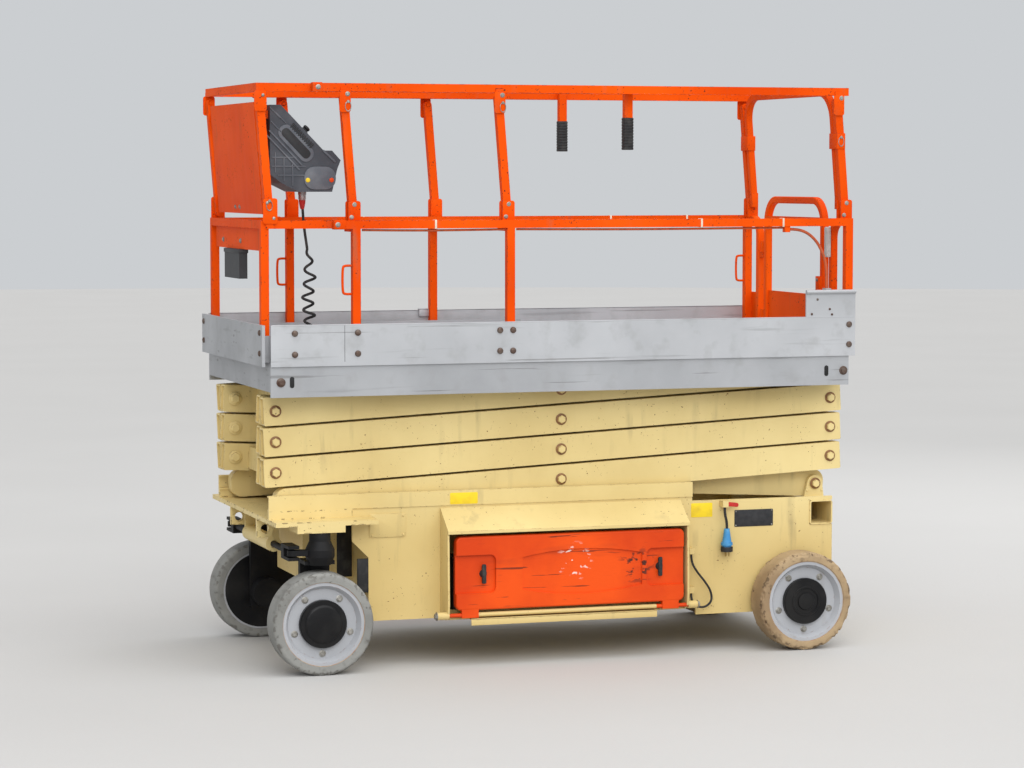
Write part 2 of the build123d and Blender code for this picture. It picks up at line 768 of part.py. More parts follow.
save("left_knuckle", knuckle())
save("right_knuckle", right_of(knuckle()))
save("steer_tie_bar", tie_bar())
for end, axle_x in (("front", front_axle_x), ("rear", rear_axle_x)):
    for piece, shape in (("tyre", tyre()), ("rim", rim())):
        save(f"{end}_left_{piece}", at_wheel(axle_x, shape))
        save(f"{end}_right_{piece}", right_of(at_wheel(axle_x, shape)))


# Scissor stack

def on_arm(stage, sign, along, rise=0.0):
    """A point on an arm, measured from its centre pin along the arm and square to it."""
    x = arm_centre_x + along * cos(slope) - sign * rise * sin(slope)
    z = centre_zs[stage] + sign * along * sin(slope) + rise * cos(slope)
    return x, z


def arm_plate(stage, sign, front, rear, lane):
    """One deep arm: an open tube mouth past each shared pin, a rounded end past a pivot or roller."""
    outline = Rectangle(front + rear + 2 * arm_end, arm_depth)
    mouths = []
    for group, reach, side in ((-1, front, 1), (0, rear, -1)):
        shared = reach == arm_half
        corners = outline.vertices().group_by(Axis.X)[group]
        outline = fillet(corners, arm_corner if shared else arm_end_radius)
        if shared:
            mouth_x = side * (reach + arm_end - arm_mouth / 2)
            mouths.append(Pos(mouth_x, 0) * Rectangle(arm_mouth, arm_depth - 2 * arm_wall))
    place = Pos(arm_centre_x, centre_zs[stage]) * Rot(0, 0, sign * rest_angle)
    arm = side_plate(place * Pos((front - rear) / 2, 0) * outline, lane)
    for mouth in mouths:
        arm -= side_plate(place * mouth, (lane[0] + arm_wall, lane[1] - arm_wall))
    return arm


def cross_box(stage, along, half_width, rise=0.0):
    """A rectangular tube across the machine, square to an inner arm."""
    x, z = on_arm(stage, 1, along, rise)
    outline = Pos(x, z) * Rot(0, 0, rest_angle) * Rectangle(*cross_member)
    return side_plate(outline, (-half_width, half_width))


def lug_plates(stage, start, end, rise, radius):
    """Two lugs from a cross tube to the lift cylinder's pin, as long as the distance between them."""
    x0, z0 = on_arm(stage, 1, start, rise)
    x1, z1 = on_arm(stage, 1, end)
    length = hypot(x1 - x0, z1 - z0)
    turn = degrees(atan2(z1 - z0, x1 - x0))
    outline = Pos((x0 + x1) / 2, (z0 + z1) / 2) * Rot(0, 0, turn) * SlotCenterToCenter(length, 2 * radius)
    return both_sides(side_plate(outline, cylinder_lug_y))


def inner_arms(stage):
    """The inner pair of one stage, welded together by cross tubes, with a bored hole at each pin."""
    rear = end_half if stage == 0 else arm_half
    front = end_half if stage == top_stage else arm_half
    arm = arm_plate(stage, 1, front, rear, inner_lane)
    for along, gap in ((0, seat), (-rear, seat), (front, open_pin_gap)):
        if stage == top_stage and along == front:
            continue
        arm -= rod("Y", on_arm(stage, 1, along), inner_lane, pin_radius + gap)
    if stage == top_stage:
        hub = on_arm(stage, 1, front)
        arm += rod("Y", hub, (track_lane[0] + 2 * sheet, inner_lane[0]), pin_radius - sheet)
        arm += rod("Y", hub, (track_lane[0] + 2 * sheet, track_lane[1] - sheet), roller_radius)
    pair = both_sides(arm)
    if stage == 0:
        pair += cross_box(stage, foot_cross_s, inner_lane[0]) + cross_box(stage, rear_cross_s, inner_lane[0])
        pair += lug_plates(stage, foot_cross_s, cylinder_s, 0, cylinder_eye_radius)
        pin_y = cylinder_lug_y[1] + pin_head
        pair += rod("Y", on_arm(stage, 1, cylinder_s), (-pin_y, pin_y), pin_radius)
    if stage == 1:
        pair += cross_box(stage, front_cross_s, inner_lane[0]) + cross_box(stage, -front_cross_s, inner_lane[0])
    if stage == 2:
        pair += cross_box(stage, front_cross_s, inner_lane[0])
        pair += cross_box(stage, top_cross_s, inner_lane[0], top_cross_rise)
        saddle_s = (top_cross_s - cross_member[0] / 2, top_cross_s + cross_member[0] / 2)
        corners = [on_arm(stage, 1, along, rise) for along, rise in (
            (saddle_s[0], -arm_depth / 4), (saddle_s[1], -arm_depth / 4),
            (saddle_s[1], top_cross_rise), (saddle_s[0], top_cross_rise))]
        pair += both_sides(side_plate(polygon(*corners), (inner_lane[0] - lug_thickness, inner_lane[0])))
        pair += lug_plates(stage, top_cross_s, -cylinder_s, top_cross_rise, lug_radius)
    if stage == top_stage:
        pair += cross_box(stage, -front_cross_s, inner_lane[0]) + cross_box(stage, upper_cross_s, inner_lane[0])
    return pair


def outer_arms(stage):
    """The outer pair of one stage with the pins that pass through the inner arms."""
    front = end_half if stage == 0 else arm_half
    rear = end_half if stage == top_stage else arm_half
    arm = arm_plate(stage, -1, front, rear, outer_lane)
    through = (inner_lane[0] - pin_head, outer_lane[1])
    arm += rod("Y", on_arm(stage, -1, 0), through, pin_radius)
    if stage == 0:
        hub = on_arm(stage, -1, front)
        web = channel_outer_y - sheet
        arm += rod("Y", hub, (outer_lane[1], web - seat), pin_radius - sheet)
        arm += rod("Y", hub, (outer_lane[1] + running_gap, web - seat), roller_radius)
    else:
        arm += rod("Y", on_arm(stage, -1, front), through, pin_radius)
    if stage == top_stage:
        lug_y = outer_lane[1] + running_gap + lug_thickness + pin_head
        arm += rod("Y", on_arm(stage, -1, -rear), (outer_lane[1], lug_y), pin_radius)
    else:
        arm += rod("Y", on_arm(stage, -1, -rear), through, pin_radius)
    return both_sides(arm)


def along_cylinder(distance):
    """A place on the lift cylinder's axis, measured from its foot pin."""
    return Location((cylinder_foot[0], 0, cylinder_foot[1]), (0, cylinder_tilt, 0)) * Pos(0, 0, distance)


def cylinder_bar(start, end, radius):
    """A round bar along the lift cylinder's axis."""
    return along_cylinder((start + end) / 2) * Cylinder(radius, end - start)


def lift_barrel():
    """The cylinder barrel with its foot eye, end cap and gland, bored for the rod."""
    shape = cylinder_bar(cylinder_eye_radius, barrel_end, barrel_radius)
    shape += cylinder_bar(barrel_end - barrel_head, barrel_end, barrel_radius + 2 * running_gap)
    shape += cylinder_bar(0, 2 * cylinder_eye_radius, cylinder_eye_half)
    shape += rod("Y", cylinder_foot, (-cylinder_eye_half, cylinder_eye_half), cylinder_eye_radius)
    shape -= cylinder_bar(rod_start - running_gap, barrel_end, rod_radius + seat)
    return shape - rod("Y", cylinder_foot, (-cylinder_eye_half, cylinder_eye_half), pin_radius + seat)


def lift_rod():
    """The polished rod with its bored eye."""
    shape = cylinder_bar(rod_start, cylinder_length, rod_radius)
    shape += rod("Y", cylinder_top, (-cylinder_eye_half, cylinder_eye_half), cylinder_eye_radius)
    return shape - rod("Y", cylinder_top, (-cylinder_eye_half, cylinder_eye_half), pin_radius)


cylinder_foot = on_arm(0, 1, cylinder_s)
cylinder_top = on_arm(2, 1, -cylinder_s)
cylinder_length = hypot(cylinder_top[0] - cylinder_foot[0], cylinder_top[1] - cylinder_foot[1])
cylinder_tilt = degrees(atan2(cylinder_top[0] - cylinder_foot[0], cylinder_top[1] - cylinder_foot[1]))
barrel_end = barrel_share * cylinder_length
rod_start = rod_share * cylinder_length

for stage in range(stages):
    save(f"inner_arms_{stage + 1}", inner_arms(stage))
    save(f"outer_arms_{stage + 1}", outer_arms(stage))
save("lift_barrel", lift_barrel())
save("lift_rod", lift_rod())


# Platform

def slide_track():
    """The left channel under the deck that the top front rollers run in, hung from a web."""
    low, high = track_lane
    z = platform_pivot[1]
    track = block(track_x, (low, low + sheet), (z - roller_half - sheet, deck_z[0]))
    for foot in (z - roller_half - sheet, z + roller_half):
        track += block(track_x, (low, high), (foot, foot + sheet))
    return track


def main_deck():
    """The deck plate with its side skirts, end members, slide tracks and rear pivot lugs."""
    inside = skirt_outer_y - skirt
    deck = block(deck_x, (-skirt_outer_y, skirt_outer_y), deck_z)
    deck += both_sides(block(deck_x, (inside, skirt_outer_y), (deck_z[0] - skirt_depth, deck_z[0])))
    for x in (deck_x[0], deck_x[1] - skirt):
        deck += block((x, x + skirt), (-inside, inside), (deck_z[0] - end_member_depth, deck_z[0]))
    deck += both_sides(slide_track())
    lug = pivot_lug(platform_pivot, deck_z[0]) - Pos(*platform_pivot) * Circle(pin_radius + seat)
    lug_y = (outer_lane[1] + running_gap, outer_lane[1] + running_gap + lug_thickness)
    return deck + both_sides(side_plate(lug, lug_y))


def toe_board():
    """The left toe-board along the deck edge."""
    return block((board_rear_x, deck_x[1]), (skirt_outer_y, board_outer_y), (deck_z[0], board_top_z))


def hinge_tab(x, lane):
    """A tab standing on a rail's face, with a rounded top round the fold pin."""
    low = mid_rail_z - tube / 2
    half = tube / 2
    outline = polygon((x - half, low), (x + half, low), (x + half, hinge_row_z), (x - half, hinge_row_z))
    return side_plate(outline + Pos(x, hinge_row_z) * Circle(tube / 2), lane)


def guard_rail():
    """The left lower rail: three posts, the mid-rail, shelves under the sliding rail, and fold tabs."""
    half = tube / 2
    rail_x = (post_xs[-1] - half, post_xs[0] + mid_rail_nose)
    rail = block(rail_x, rail_lane, (mid_rail_z - half, mid_rail_z + half))
    for x in post_xs:
        rail += block((x - half, x + half), rail_lane, (floor_z, mid_rail_z - half))
        rail += hinge_tab(x, (upper_lane[1] + seat, rail_lane[0]))
        rail += rod("Y", (x, hinge_row_z), (upper_lane[0] - pin_head, upper_lane[1] + seat), rail_pin_radius)
    shelf_top = mid_rail_z - half - seat
    shelf_z = (shelf_top - 2 * sheet, shelf_top)
    for x in post_xs[:2]:
        rail += block((x - half, x + half), (extension_lane[0], rail_lane[0]), shelf_z)
    return rail


def leaning_post(x, lane):
    """One folding post, leaning forward between its two hinge pins, with a hole for each."""
    length = hypot(fold_lean, fold_rise)
    turn = degrees(atan2(fold_rise, fold_lean))
    middle = (x + fold_lean / 2, hinge_row_z + fold_rise / 2)
    outline = Pos(*middle) * Rot(0, 0, turn) * SlotCenterToCenter(length, tube)
    outline -= Pos(x, hinge_row_z) * Circle(rail_pin_radius + seat)
    outline -= Pos(x + fold_lean, hinge_row_z + fold_rise) * Circle(rail_pin_radius + open_pin_gap)
    return side_plate(outline, (lane[0], lane[1] - seat))


def leaning_strip(x, z, depth, y):
    """A bar or panel that follows the lean of the folding posts."""
    def lean(height):
        return x + fold_lean * (height - hinge_row_z) / fold_rise
    outline = polygon((lean(z[0]) + depth[0], z[0]), (lean(z[0]) + depth[1], z[0]),
                      (lean(z[1]) + depth[1], z[1]), (lean(z[1]) + depth[0], z[1]))
    return side_plate(outline, y)


def rear_upper_posts():
    """The rear folding posts joined by the bent arch over the entry."""
    x = post_xs[-1]
    lean = fold_lean / fold_rise
    foot = (x + lean * arch_foot, hinge_row_z + arch_foot)
    top = (x + lean * (top_rail_z - hinge_row_z), top_rail_z)
    arch_y = (upper_lane[0] + upper_lane[1]) / 2 - arch_in
    shape = bent_bar([
        (foot[0], -arch_y, foot[1]),
        (top[0], -arch_y, top[1]),
        (top[0], arch_y, top[1]),
        (foot[0], arch_y, foot[1]),
    ], arch_bend, gate_tube)
    posts = leaning_post(x, upper_lane)
    for z in (foot[1] + tube, foot[1] + fold_rise / 2 + tube):
        clamp_y = (arch_y + tube / 4, upper_lane[0] + tube / 4)
        posts += leaning_strip(x, (z, z + tube), (-tube / 4, tube / 4), clamp_y)
    return shape + both_sides(posts)


def top_bracket(x, lane):
    """A tab hanging from a top rail's outer face, with the pin that the post's head turns on."""
    z = hinge_row_z + fold_rise
    half = tube / 2
    outline = polygon((x - half, z), (x + half, z), (x + half, top_rail_z), (x - half, top_rail_z))
    tab = side_plate(outline + Pos(x, z) * Circle(half), (lane[1], lane[1] + pin_head))
    return tab + rod("Y", (x, z), (lane[0] - pin_head, lane[1]), rail_pin_radius)


def top_rail():
    """The left top rail with a bracket for each folding post."""
    half = tube / 2
    rail_x = (deck_x[0] - top_rail_reach[0], post_xs[0] + top_rail_reach[1])
    rail = block(rail_x, upper_lane, (top_rail_z - half, top_rail_z + half))
    for x in post_xs:
        rail += top_bracket(x + fold_lean, upper_lane)
    return rail


def rear_jamb():
    """The left jamb beside the entry: a bent tube from the post down to the deck, and a kick plate."""
    x = post_xs[-1]
    tab_y = upper_lane[1] + seat
    plate_z = (floor_z, floor_z + rear_plate_height)
    plate_x = (x - tube / 2 - sheet, x - tube / 2)
    route = [(x, tab_y, mid_rail_z), (x, jamb_y, mid_rail_z), (x, jamb_y, floor_z)]
    jamb = bent_bar(route, jamb_bend, gate_tube)
    jamb += block(plate_x, (jamb_y - tube / 2, skirt_outer_y), plate_z)
    return jamb + block((plate_x[0], x), (jamb_y - tube / 4, jamb_y + tube / 4), plate_z)


def gate_bracket(z):
    """A bracket from the right jamb that carries one gate hinge pin."""
    x = post_xs[-1]
    reach = (-jamb_y, gate_hinge_y + gate_pin_radius)
    pin = rod("Z", (x, gate_hinge_y), (z - 2 * gate_knuckle_half, z + gate_knuckle_half), gate_pin_radius)
    plate_z = (z - 2 * gate_knuckle_half, z - gate_knuckle_half - seat)
    return pin + block((x - gate_pin_radius, x + gate_pin_radius), reach, plate_z)


def rear_jambs():
    """Both jambs, the right one with the gate's hinge pins."""
    jambs = both_sides(rear_jamb())
    for height in gate_hinge_heights:
        jambs += gate_bracket(floor_z + height)
    return jambs


def entry_gate():
    """The bent gate tube with its mid bar, kick plate and two bored hinge knuckles."""
    x = post_xs[-1]
    foot, top = floor_z + gate_foot_height, mid_rail_z + gate_top_rise
    half = gate_tube / 2
    route = [(x, -gate_y, foot), (x, -gate_y, top), (x, gate_y, top), (x, gate_y, foot)]
    gate = bent_bar(route, gate_bend, gate_tube)
    gate += block((x - sheet / 2, x + sheet / 2), (-gate_y, gate_y), (foot, floor_z + kick_plate_height))
    gate += block((x - half, x + half), (-gate_y, gate_y), (mid_rail_z - half, mid_rail_z + half))
    for height in gate_hinge_heights:
        z = floor_z + height
        knuckle_z = (z - gate_knuckle_half, z + gate_knuckle_half)
        gate += rod("Z", (x, gate_hinge_y), knuckle_z, gate_knuckle_radius)
        gate += block((x - gate_pin_radius, x + gate_pin_radius), (gate_hinge_y, -gate_y), knuckle_z)
        gate -= rod("Z", (x, gate_hinge_y), knuckle_z, gate_pin_radius + seat)
    return gate


def cable_cover():
    """The aluminium cover standing on the left toe-board at the rear, with a rolled lip and a cable boss."""
    cover = block(cover_x, (skirt_outer_y, board_outer_y), (board_top_z, cover_top_z))
    cover += rod("X", (skirt_outer_y + cover_lip, cover_top_z), cover_x, cover_lip - seat)
    boss_x = (cable_x[0] - clip_half, cable_x[0] + clip_half)
    boss_y = (cable_y - clip_half, skirt_outer_y + skirt / 2)
    return cover + block(boss_x, boss_y, (cover_top_z - tube, cable_foot_z))


def platform_cable():
    """The control cable, out of its clip under the left mid-rail and down to the boss on the cover."""
    rear, front = cable_x
    z = mid_rail_z - tube / 2 - clip_half
    return cord_tube([
        (front, cable_y, z),
        (front - 40, cable_y, z),
        (front - 88, cable_y, z - 18),
        (rear + 40, cable_y, z - 56),
        (rear + 14, cable_y, z - 106),
        (rear + 3, cable_y, cable_foot_z + 95),
        (rear, cable_y, cable_foot_z + 46),
        (rear, cable_y, cable_foot_z),
    ], cable_radius)


def cable_gland():
    """The clip under the mid-rail that the control cable comes out of."""
    x = (cable_x[1], cable_x[1] + 2 * clip_half)
    foot = mid_rail_z - tube / 2
    return block(x, (cable_y - clip_half, cable_y + clip_half), (foot - 2 * clip_half, foot))


save("main_deck", main_deck())
save("toe_boards", both_sides(toe_board()))
save("left_guard_rail", guard_rail() + cable_gland())
save("right_guard_rail", right_of(guard_rail()))
save("rear_jambs", rear_jambs())
save("entry_gate", entry_gate())
save("cable_cover", cable_cover())
save("platform_cable", platform_cable())
save("front_upper_posts", both_sides(leaning_post(post_xs[0], upper_lane)))
save("mid_upper_posts", both_sides(leaning_post(post_xs[1], upper_lane)))
save("rear_upper_posts", rear_upper_posts())
save("top_rails", both_sides(top_rail()))


# Sliding deck extension

def extension_deck():
    """The sliding deck plate with low side boards, the front plate, and the curly cord's socket."""
    top = extension_deck_z[1]
    half = skirt_outer_y - extension_deck_inset
    plate_half = skirt_outer_y - front_plate_inset
    plate_x = (deck_x[1] + front_plate_gap, deck_x[1] + front_plate_gap + front_plate_thickness)
    deck_span = (extension_rear_x, plate_x[0])
    deck = block(deck_span, (-half, half), extension_deck_z)
    deck += both_sides(block(deck_span, (half - sheet, half), (top, floor_z + extension_board_height)))
    deck += block(plate_x, (-plate_half, plate_half), (deck_z[0], board_top_z))
    x, y = curly_foot
    return deck + block((x - tube, x + tube), (y - tube, y + tube), (top, socket_z))


def extension_frame():
    """The lower extension rails: front posts, sliding mid-rails, a front cross-bar, and the fold tabs."""
    half = tube / 2
    x = extension_post_x
    inside, outside = extension_lane
    rail_z = (mid_rail_z - half, mid_rail_z + half)
    side = block((x - half, x + half), extension_lane, (extension_deck_z[1], rail_z[0]))
    side += block((extension_rail_rear_x, x + half), extension_lane, rail_z)
    side += hinge_tab(extension_hinge_x, (outside, outside + sheet))
    side += rod("Y", (extension_hinge_x, hinge_row_z), (inside - pin_head, outside), rail_pin_radius)
    return both_sides(side) + block((x - half, x + half), (-inside, inside), rail_z)


def lower_panel():
    """The narrow plate under the front cross-bar, and the manual box hanging from it."""
    x = extension_post_x
    return block((x - panel_thickness / 2, x + panel_thickness / 2), (-panel_half, panel_half), lower_panel_z)


def manual_box():
    """The shallow box for papers below the front plate, open at its top rear edge."""
    x = (extension_post_x - manual_box_depth / 2, extension_post_x + manual_box_depth / 2)
    z = (lower_panel_z[0] - manual_box_height, lower_panel_z[0])
    hollow_x = (x[0] + sheet, extension_post_x - panel_thickness / 2)
    hollow_y = (manual_box_y[0] + sheet, manual_box_y[1] - sheet)
    return block(x, manual_box_y, z) - block(hollow_x, hollow_y, (z[0] + sheet, z[1]))


def extension_posts():
    """The folding front posts with two cross-bars and the bracket that carries the control box."""
    posts = both_sides(leaning_post(extension_hinge_x, extension_lane))
    inside = extension_lane[0]
    for z in (panel_z[0] + tube, panel_z[1] - 2 * tube):
        posts += leaning_strip(extension_hinge_x, (z, z + tube), (-tube / 2, panel_seat), (-inside, inside))
    bracket_z = (panel_z[1] - 2 * tube, panel_z[1] - tube)
    bracket_y = (control_y[0] + tube, control_y[1] - tube)
    reach = extension_hinge_x + fold_lean * (bracket_z[0] - hinge_row_z) / fold_rise
    return posts + block((control_front_x, reach), bracket_y, bracket_z)


def extension_panel():
    """The tall front panel between the folding posts."""
    depth = (panel_seat, panel_seat + panel_thickness)
    return leaning_strip(extension_hinge_x, panel_z, depth, (-panel_half, panel_half))


def extension_top_rail():
    """The extension's top rail: two long sides, a front cross-bar and two push handles."""
    half = tube / 2
    rail_z = (top_rail_z - half, top_rail_z + half)
    front = extension_hinge_x + fold_lean
    side = block((extension_rail_rear_x, front + half), extension_lane, rail_z)
    side += top_bracket(front, extension_lane)
    handle_mid = extension_rail_rear_x + push_handle_set_in
    handle_x = (handle_mid - push_handle_width / 2, handle_mid + push_handle_width / 2)
    handle_edge = extension_lane[0] - push_handle_lane_in
    handle_lane = (handle_edge - push_handle_depth, handle_edge)
    side += block(handle_x, (handle_lane[0], extension_lane[0]), rail_z)
    side += block(handle_x, handle_lane, (top_rail_z - push_handle_drop, rail_z[0]))
    across = (-extension_lane[0], extension_lane[0])
    return both_sides(side) + block((front - half, front + half), across, rail_z)


def control_box():
    """The upper control box: a case whose face slopes down towards the operator."""
    outline = polygon(*[(control_front_x - back, control_top_z - drop) for back, drop in control_outline])
    return side_plate(outline, control_y)


def curly_cord():
    """The curly control cord, as one fat tube from the control box down to its socket."""
    x, y = curly_foot
    top = curly_top_z
    return cord_tube([
        (x + curly_sway, y, top),
        (x + curly_sway, y, top - 100),
        (x - 6, y - 6, top - 280),
        (x, y, socket_z + 130),
        (x, y, socket_z),
    ], curly_radius)


save("extension_deck", extension_deck())
save("extension_frame", extension_frame())
save("lower_panel", lower_panel())
save("manual_box", manual_box())
save("extension_posts", extension_posts())
save("extension_panel", extension_panel())
save("extension_top_rail", extension_top_rail())
save("control_box", control_box())
save("curly_cord", curly_cord())
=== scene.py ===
import bpy
from math import cos, hypot, pi, radians, sin
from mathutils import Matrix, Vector, noise


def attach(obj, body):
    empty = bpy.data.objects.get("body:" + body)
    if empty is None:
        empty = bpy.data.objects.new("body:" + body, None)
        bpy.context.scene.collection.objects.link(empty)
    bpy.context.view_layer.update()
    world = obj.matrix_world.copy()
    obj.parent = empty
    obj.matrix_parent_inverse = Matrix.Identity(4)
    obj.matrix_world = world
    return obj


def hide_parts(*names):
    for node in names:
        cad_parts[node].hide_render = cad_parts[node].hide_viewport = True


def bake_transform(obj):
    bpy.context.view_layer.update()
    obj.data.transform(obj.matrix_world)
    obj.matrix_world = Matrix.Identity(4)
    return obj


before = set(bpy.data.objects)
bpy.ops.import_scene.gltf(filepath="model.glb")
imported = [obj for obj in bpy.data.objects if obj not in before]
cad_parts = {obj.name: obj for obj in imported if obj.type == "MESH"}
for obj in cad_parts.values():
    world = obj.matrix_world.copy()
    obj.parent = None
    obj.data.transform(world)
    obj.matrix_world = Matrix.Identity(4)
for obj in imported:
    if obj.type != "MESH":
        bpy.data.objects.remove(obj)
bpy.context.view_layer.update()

# Studio
# A plain pale floor under soft overhead light, and a long lens at eye height, a few degrees down, that looks at
# the machine's left side from a little ahead of it.
camera_place = (3.9282, 11.8085, 1.9489)
camera_turn = 161.84
camera_dip = 3.98
camera_lens = 105.07
floor_reach = 40.0


def linear(red, green, blue):
    """A colour as seen on a screen, turned into the light values that shaders add up."""
    def channel(value):
        value = value / 255
        return value / 12.92 if value <= 0.04045 else ((value + 0.055) / 1.055) ** 2.4
    return (channel(red), channel(green), channel(blue), 1.0)


class Wire:
    """One socket of a finish, so that patterns are added and scaled as plain arithmetic."""

    def __init__(self, finish, socket):
        self.finish = finish
        self.socket = socket

    def math(self, operation, *values):
        return self.finish.node("ShaderNodeMath", {"operation": operation}, *values)

    def __add__(self, other):
        return self.math("ADD", self, other)

    def __sub__(self, other):
        return self.math("SUBTRACT", self, other)

    def __rsub__(self, other):
        return self.math("SUBTRACT", other, self)

    def __mul__(self, other):
        return self.math("MULTIPLY", self, other)

    __radd__ = __add__
    __rmul__ = __mul__

    def over(self, edge, softness):
        """Nothing below the edge, full above it, and a ramp as wide as the softness between."""
        return self.finish.node("ShaderNodeMath", {"operation": "MULTIPLY", "use_clamp": True}, self - edge,
                                1 / softness)


class Finish:
    """One surface finish: its material, and the one way in which a node is added to it."""

    def __init__(self, name, world=None):
        self.material = world or bpy.data.materials.new(name)
        self.material.use_nodes = True
        self.tree = self.material.node_tree
        self.surface = self.tree.nodes.get("Principled BSDF")
        self.place = None if world else self.node("ShaderNodeTexCoord", {}, out="Object")

    def feed(self, socket, value):
        if isinstance(value, Wire):
            self.tree.links.new(value.socket, socket)
        elif value is not None:
            socket.default_value = value

    def node(self, kind, settings, *values, out=0, **named):
        node = self.tree.nodes.new(kind)
        for key, value in settings.items():
            setattr(node, key, value)
        for socket, value in zip(node.inputs, values):
            self.feed(socket, value)
        for key, value in named.items():
            self.feed(node.inputs[key], value)
        return Wire(self, node.outputs[out])

    def noise(self, scale, detail=3.0, stretch=(1.0, 1.0, 1.0)):
        placed = self.node("ShaderNodeMapping", {}, self.place, Scale=stretch)
        return self.node("ShaderNodeTexNoise", {}, placed, Scale=scale, Detail=detail)

    def mix(self, mask, first, second):
        """One tone over another: each is a wire, or a colour as seen on a screen."""
        first, second = [tone if isinstance(tone, Wire) else linear(*tone) for tone in (first, second)]
        return self.node("ShaderNodeMix", {"data_type": "RGBA"}, mask, None, None, None, None, None, first,
                         second, out=2)

    def cover(self, colour, roughness, metallic=0.0, bumps=None, height=0.001, gloss=0.5):
        self.feed(self.surface.inputs["Base Color"], colour)
        self.feed(self.surface.inputs["Roughness"], roughness)
        self.feed(self.surface.inputs["Metallic"], metallic)
        self.feed(self.surface.inputs["Specular IOR Level"], gloss)
        if bumps is not None:
            lifted = self.node("ShaderNodeBump", {}, Strength=0.5, Distance=height, Height=bumps)
            self.feed(self.surface.inputs["Normal"], lifted)
        return self.material


def nothing_selected():
    """Leave no object selected, so that an operator acts on the new primitive alone."""
    bpy.ops.object.select_all(action="DESELECT")


def floor_finish():
    finish = Finish("pale_floor")
    tone = finish.noise(0.7, 6.0)
    grain = finish.noise(60.0, 4.0)
    colour = finish.mix(tone, (184, 183, 181), (190, 189, 187))
    return finish.cover(colour, 0.82 + 0.1 * grain, bumps=grain, height=0.002)


nothing_selected()
bpy.ops.mesh.primitive_circle_add(vertices=128, radius=floor_reach, fill_type="NGON")
floor = bpy.context.object
floor.name = "floor"
floor.data.materials.append(floor_finish())


def sky_finish(world):
    """An even pale sky: soft light from all round, and plain pale grey to the lens and in shiny parts."""
    sky = Finish("sky", world)
    sky.tree.nodes.remove(sky.tree.nodes["Background"])
    light = sky.node("ShaderNodeBackground", {}, linear(240, 241, 243), 0.80)
    plain = sky.node("ShaderNodeBackground", {}, linear(203, 206, 209), 1.0)
    lens, shine, through = [sky.node("ShaderNodeLightPath", {}, out=f"Is {ray} Ray")
                            for ray in ("Camera", "Glossy", "Transmission")]
    seen = lens.math("MAXIMUM", lens.math("MAXIMUM", lens, shine), through)
    both = sky.node("ShaderNodeMixShader", {}, seen, light, plain)
    sky.feed(sky.tree.nodes["World Output"].inputs["Surface"], both)


bpy.context.scene.world = bpy.context.scene.world or bpy.data.worlds.new("sky")
sky_finish(bpy.context.scene.world)
nothing_selected()
bpy.ops.object.light_add(type="SUN", location=(2.0, 3.0, 8.0), rotation=(radians(-32), radians(-6), 0))
bpy.context.object.name = "high_sun"
bpy.context.object.data.energy = 2.1
bpy.context.object.data.angle = radians(75)


def lamp(name, place, target, size, power):
    """A large soft lamp that faces a point on the machine."""
    nothing_selected()
    bpy.ops.object.light_add(type="AREA", location=place)
    light = bpy.context.object
    light.name = name
    light.rotation_euler = (Vector(target) - Vector(place)).to_track_quat("-Z", "Y").to_euler()
    light.data.size = size
    light.data.energy = power


lamp("left_soft", (2.5, 8.5, 4.5), (0.2, 0.0, 1.0), 4.0, 210.0)
lamp("far_fill", (-6.0, -4.0, 5.0), (0.0, 0.0, 1.2), 5.0, 110.0)

nothing_selected()
bpy.ops.object.camera_add(location=camera_place, rotation=(radians(90 - camera_dip), 0, radians(camera_turn)))
camera = bpy.context.object
camera.data.lens = camera_lens
camera.data.sensor_width = 36.0
camera.data.clip_end = 100.0
scene = bpy.context.scene
scene.camera = camera
scene.view_settings.view_transform = "Standard"

# Chassis
# Welded steel plate and tube, sprayed cream over primer: side walls, floor, nose, front plate, slide channels,
# rear tube with its pivot lugs, and the sloping hoods over the side compartments.


def worn_paint(name, colour, shade, chip, chip_edge=0.68, edge_wear=0.6, edge_width=0.004, tint=0.0, gloss=0.3):
    """Sprayed paint: uneven tone, grime runs, painted shade low down, chips and bare rubbed edges."""
    finish = Finish(name)
    broad = finish.noise(1.8, 5.0)
    patch = finish.noise(9.0, 4.0)
    speck = finish.noise(120.0, 5.0)
    streak = finish.noise(22.0, 4.0, (1.0, 1.0, 0.12))
    grime = finish.noise(5.0, 6.0)
    rub = finish.noise(38.0, 5.0)
    rounded = finish.node("ShaderNodeBevel", {"samples": 4}, Radius=edge_width)
    straight = finish.node("ShaderNodeNewGeometry", {}, out="Normal")
    along = finish.node("ShaderNodeVectorMath", {"operation": "DOT_PRODUCT"}, rounded, straight, out="Value")
    edges = (1 - along).over(0.02, 0.06) * rub.over(0.54, 0.06) * edge_wear
    clean = finish.mix(broad.over(0.35, 0.3), shade, colour)
    height = finish.node("ShaderNodeSeparateXYZ", {}, finish.place, out="Z")
    # Painted shade: below 0.30 m the tone turns darker and browner by the tint amount, fading out by 0.66 m.
    tone = finish.mix(tint * (1 - height.over(0.30, 0.36)), clean, (186, 152, 82))
    dirty = finish.mix(0.45 * streak.over(0.56, 0.2) * grime.over(0.45, 0.2), tone, (120, 108, 84))
    chips = speck.over(chip_edge, 0.03) * patch.over(0.48, 0.08)
    worn = finish.mix(chips, dirty, chip)
    bare = finish.mix(edges, worn, chip)
    peel = finish.noise(260.0, 2.0)
    return finish.cover(bare, 0.46 + 0.3 * grime * streak + 0.2 * chips, bumps=peel - 2 * chips, height=0.0008,
                        gloss=gloss)


def cloudy(name, colour, shade, cloud, edge, grain, rough, metallic=0.0, height=0.0005, gloss=0.5):
    """A plain finish: one tone clouded by a second, rougher in the clouds, with a fine grain."""
    finish = Finish(name)
    tint = finish.noise(*cloud)
    tooth = finish.noise(*grain)
    tone = finish.mix(tint.over(*edge), colour, shade)
    return finish.cover(tone, rough[0] + rough[1] * tint, metallic, bumps=tooth, height=height, gloss=gloss)


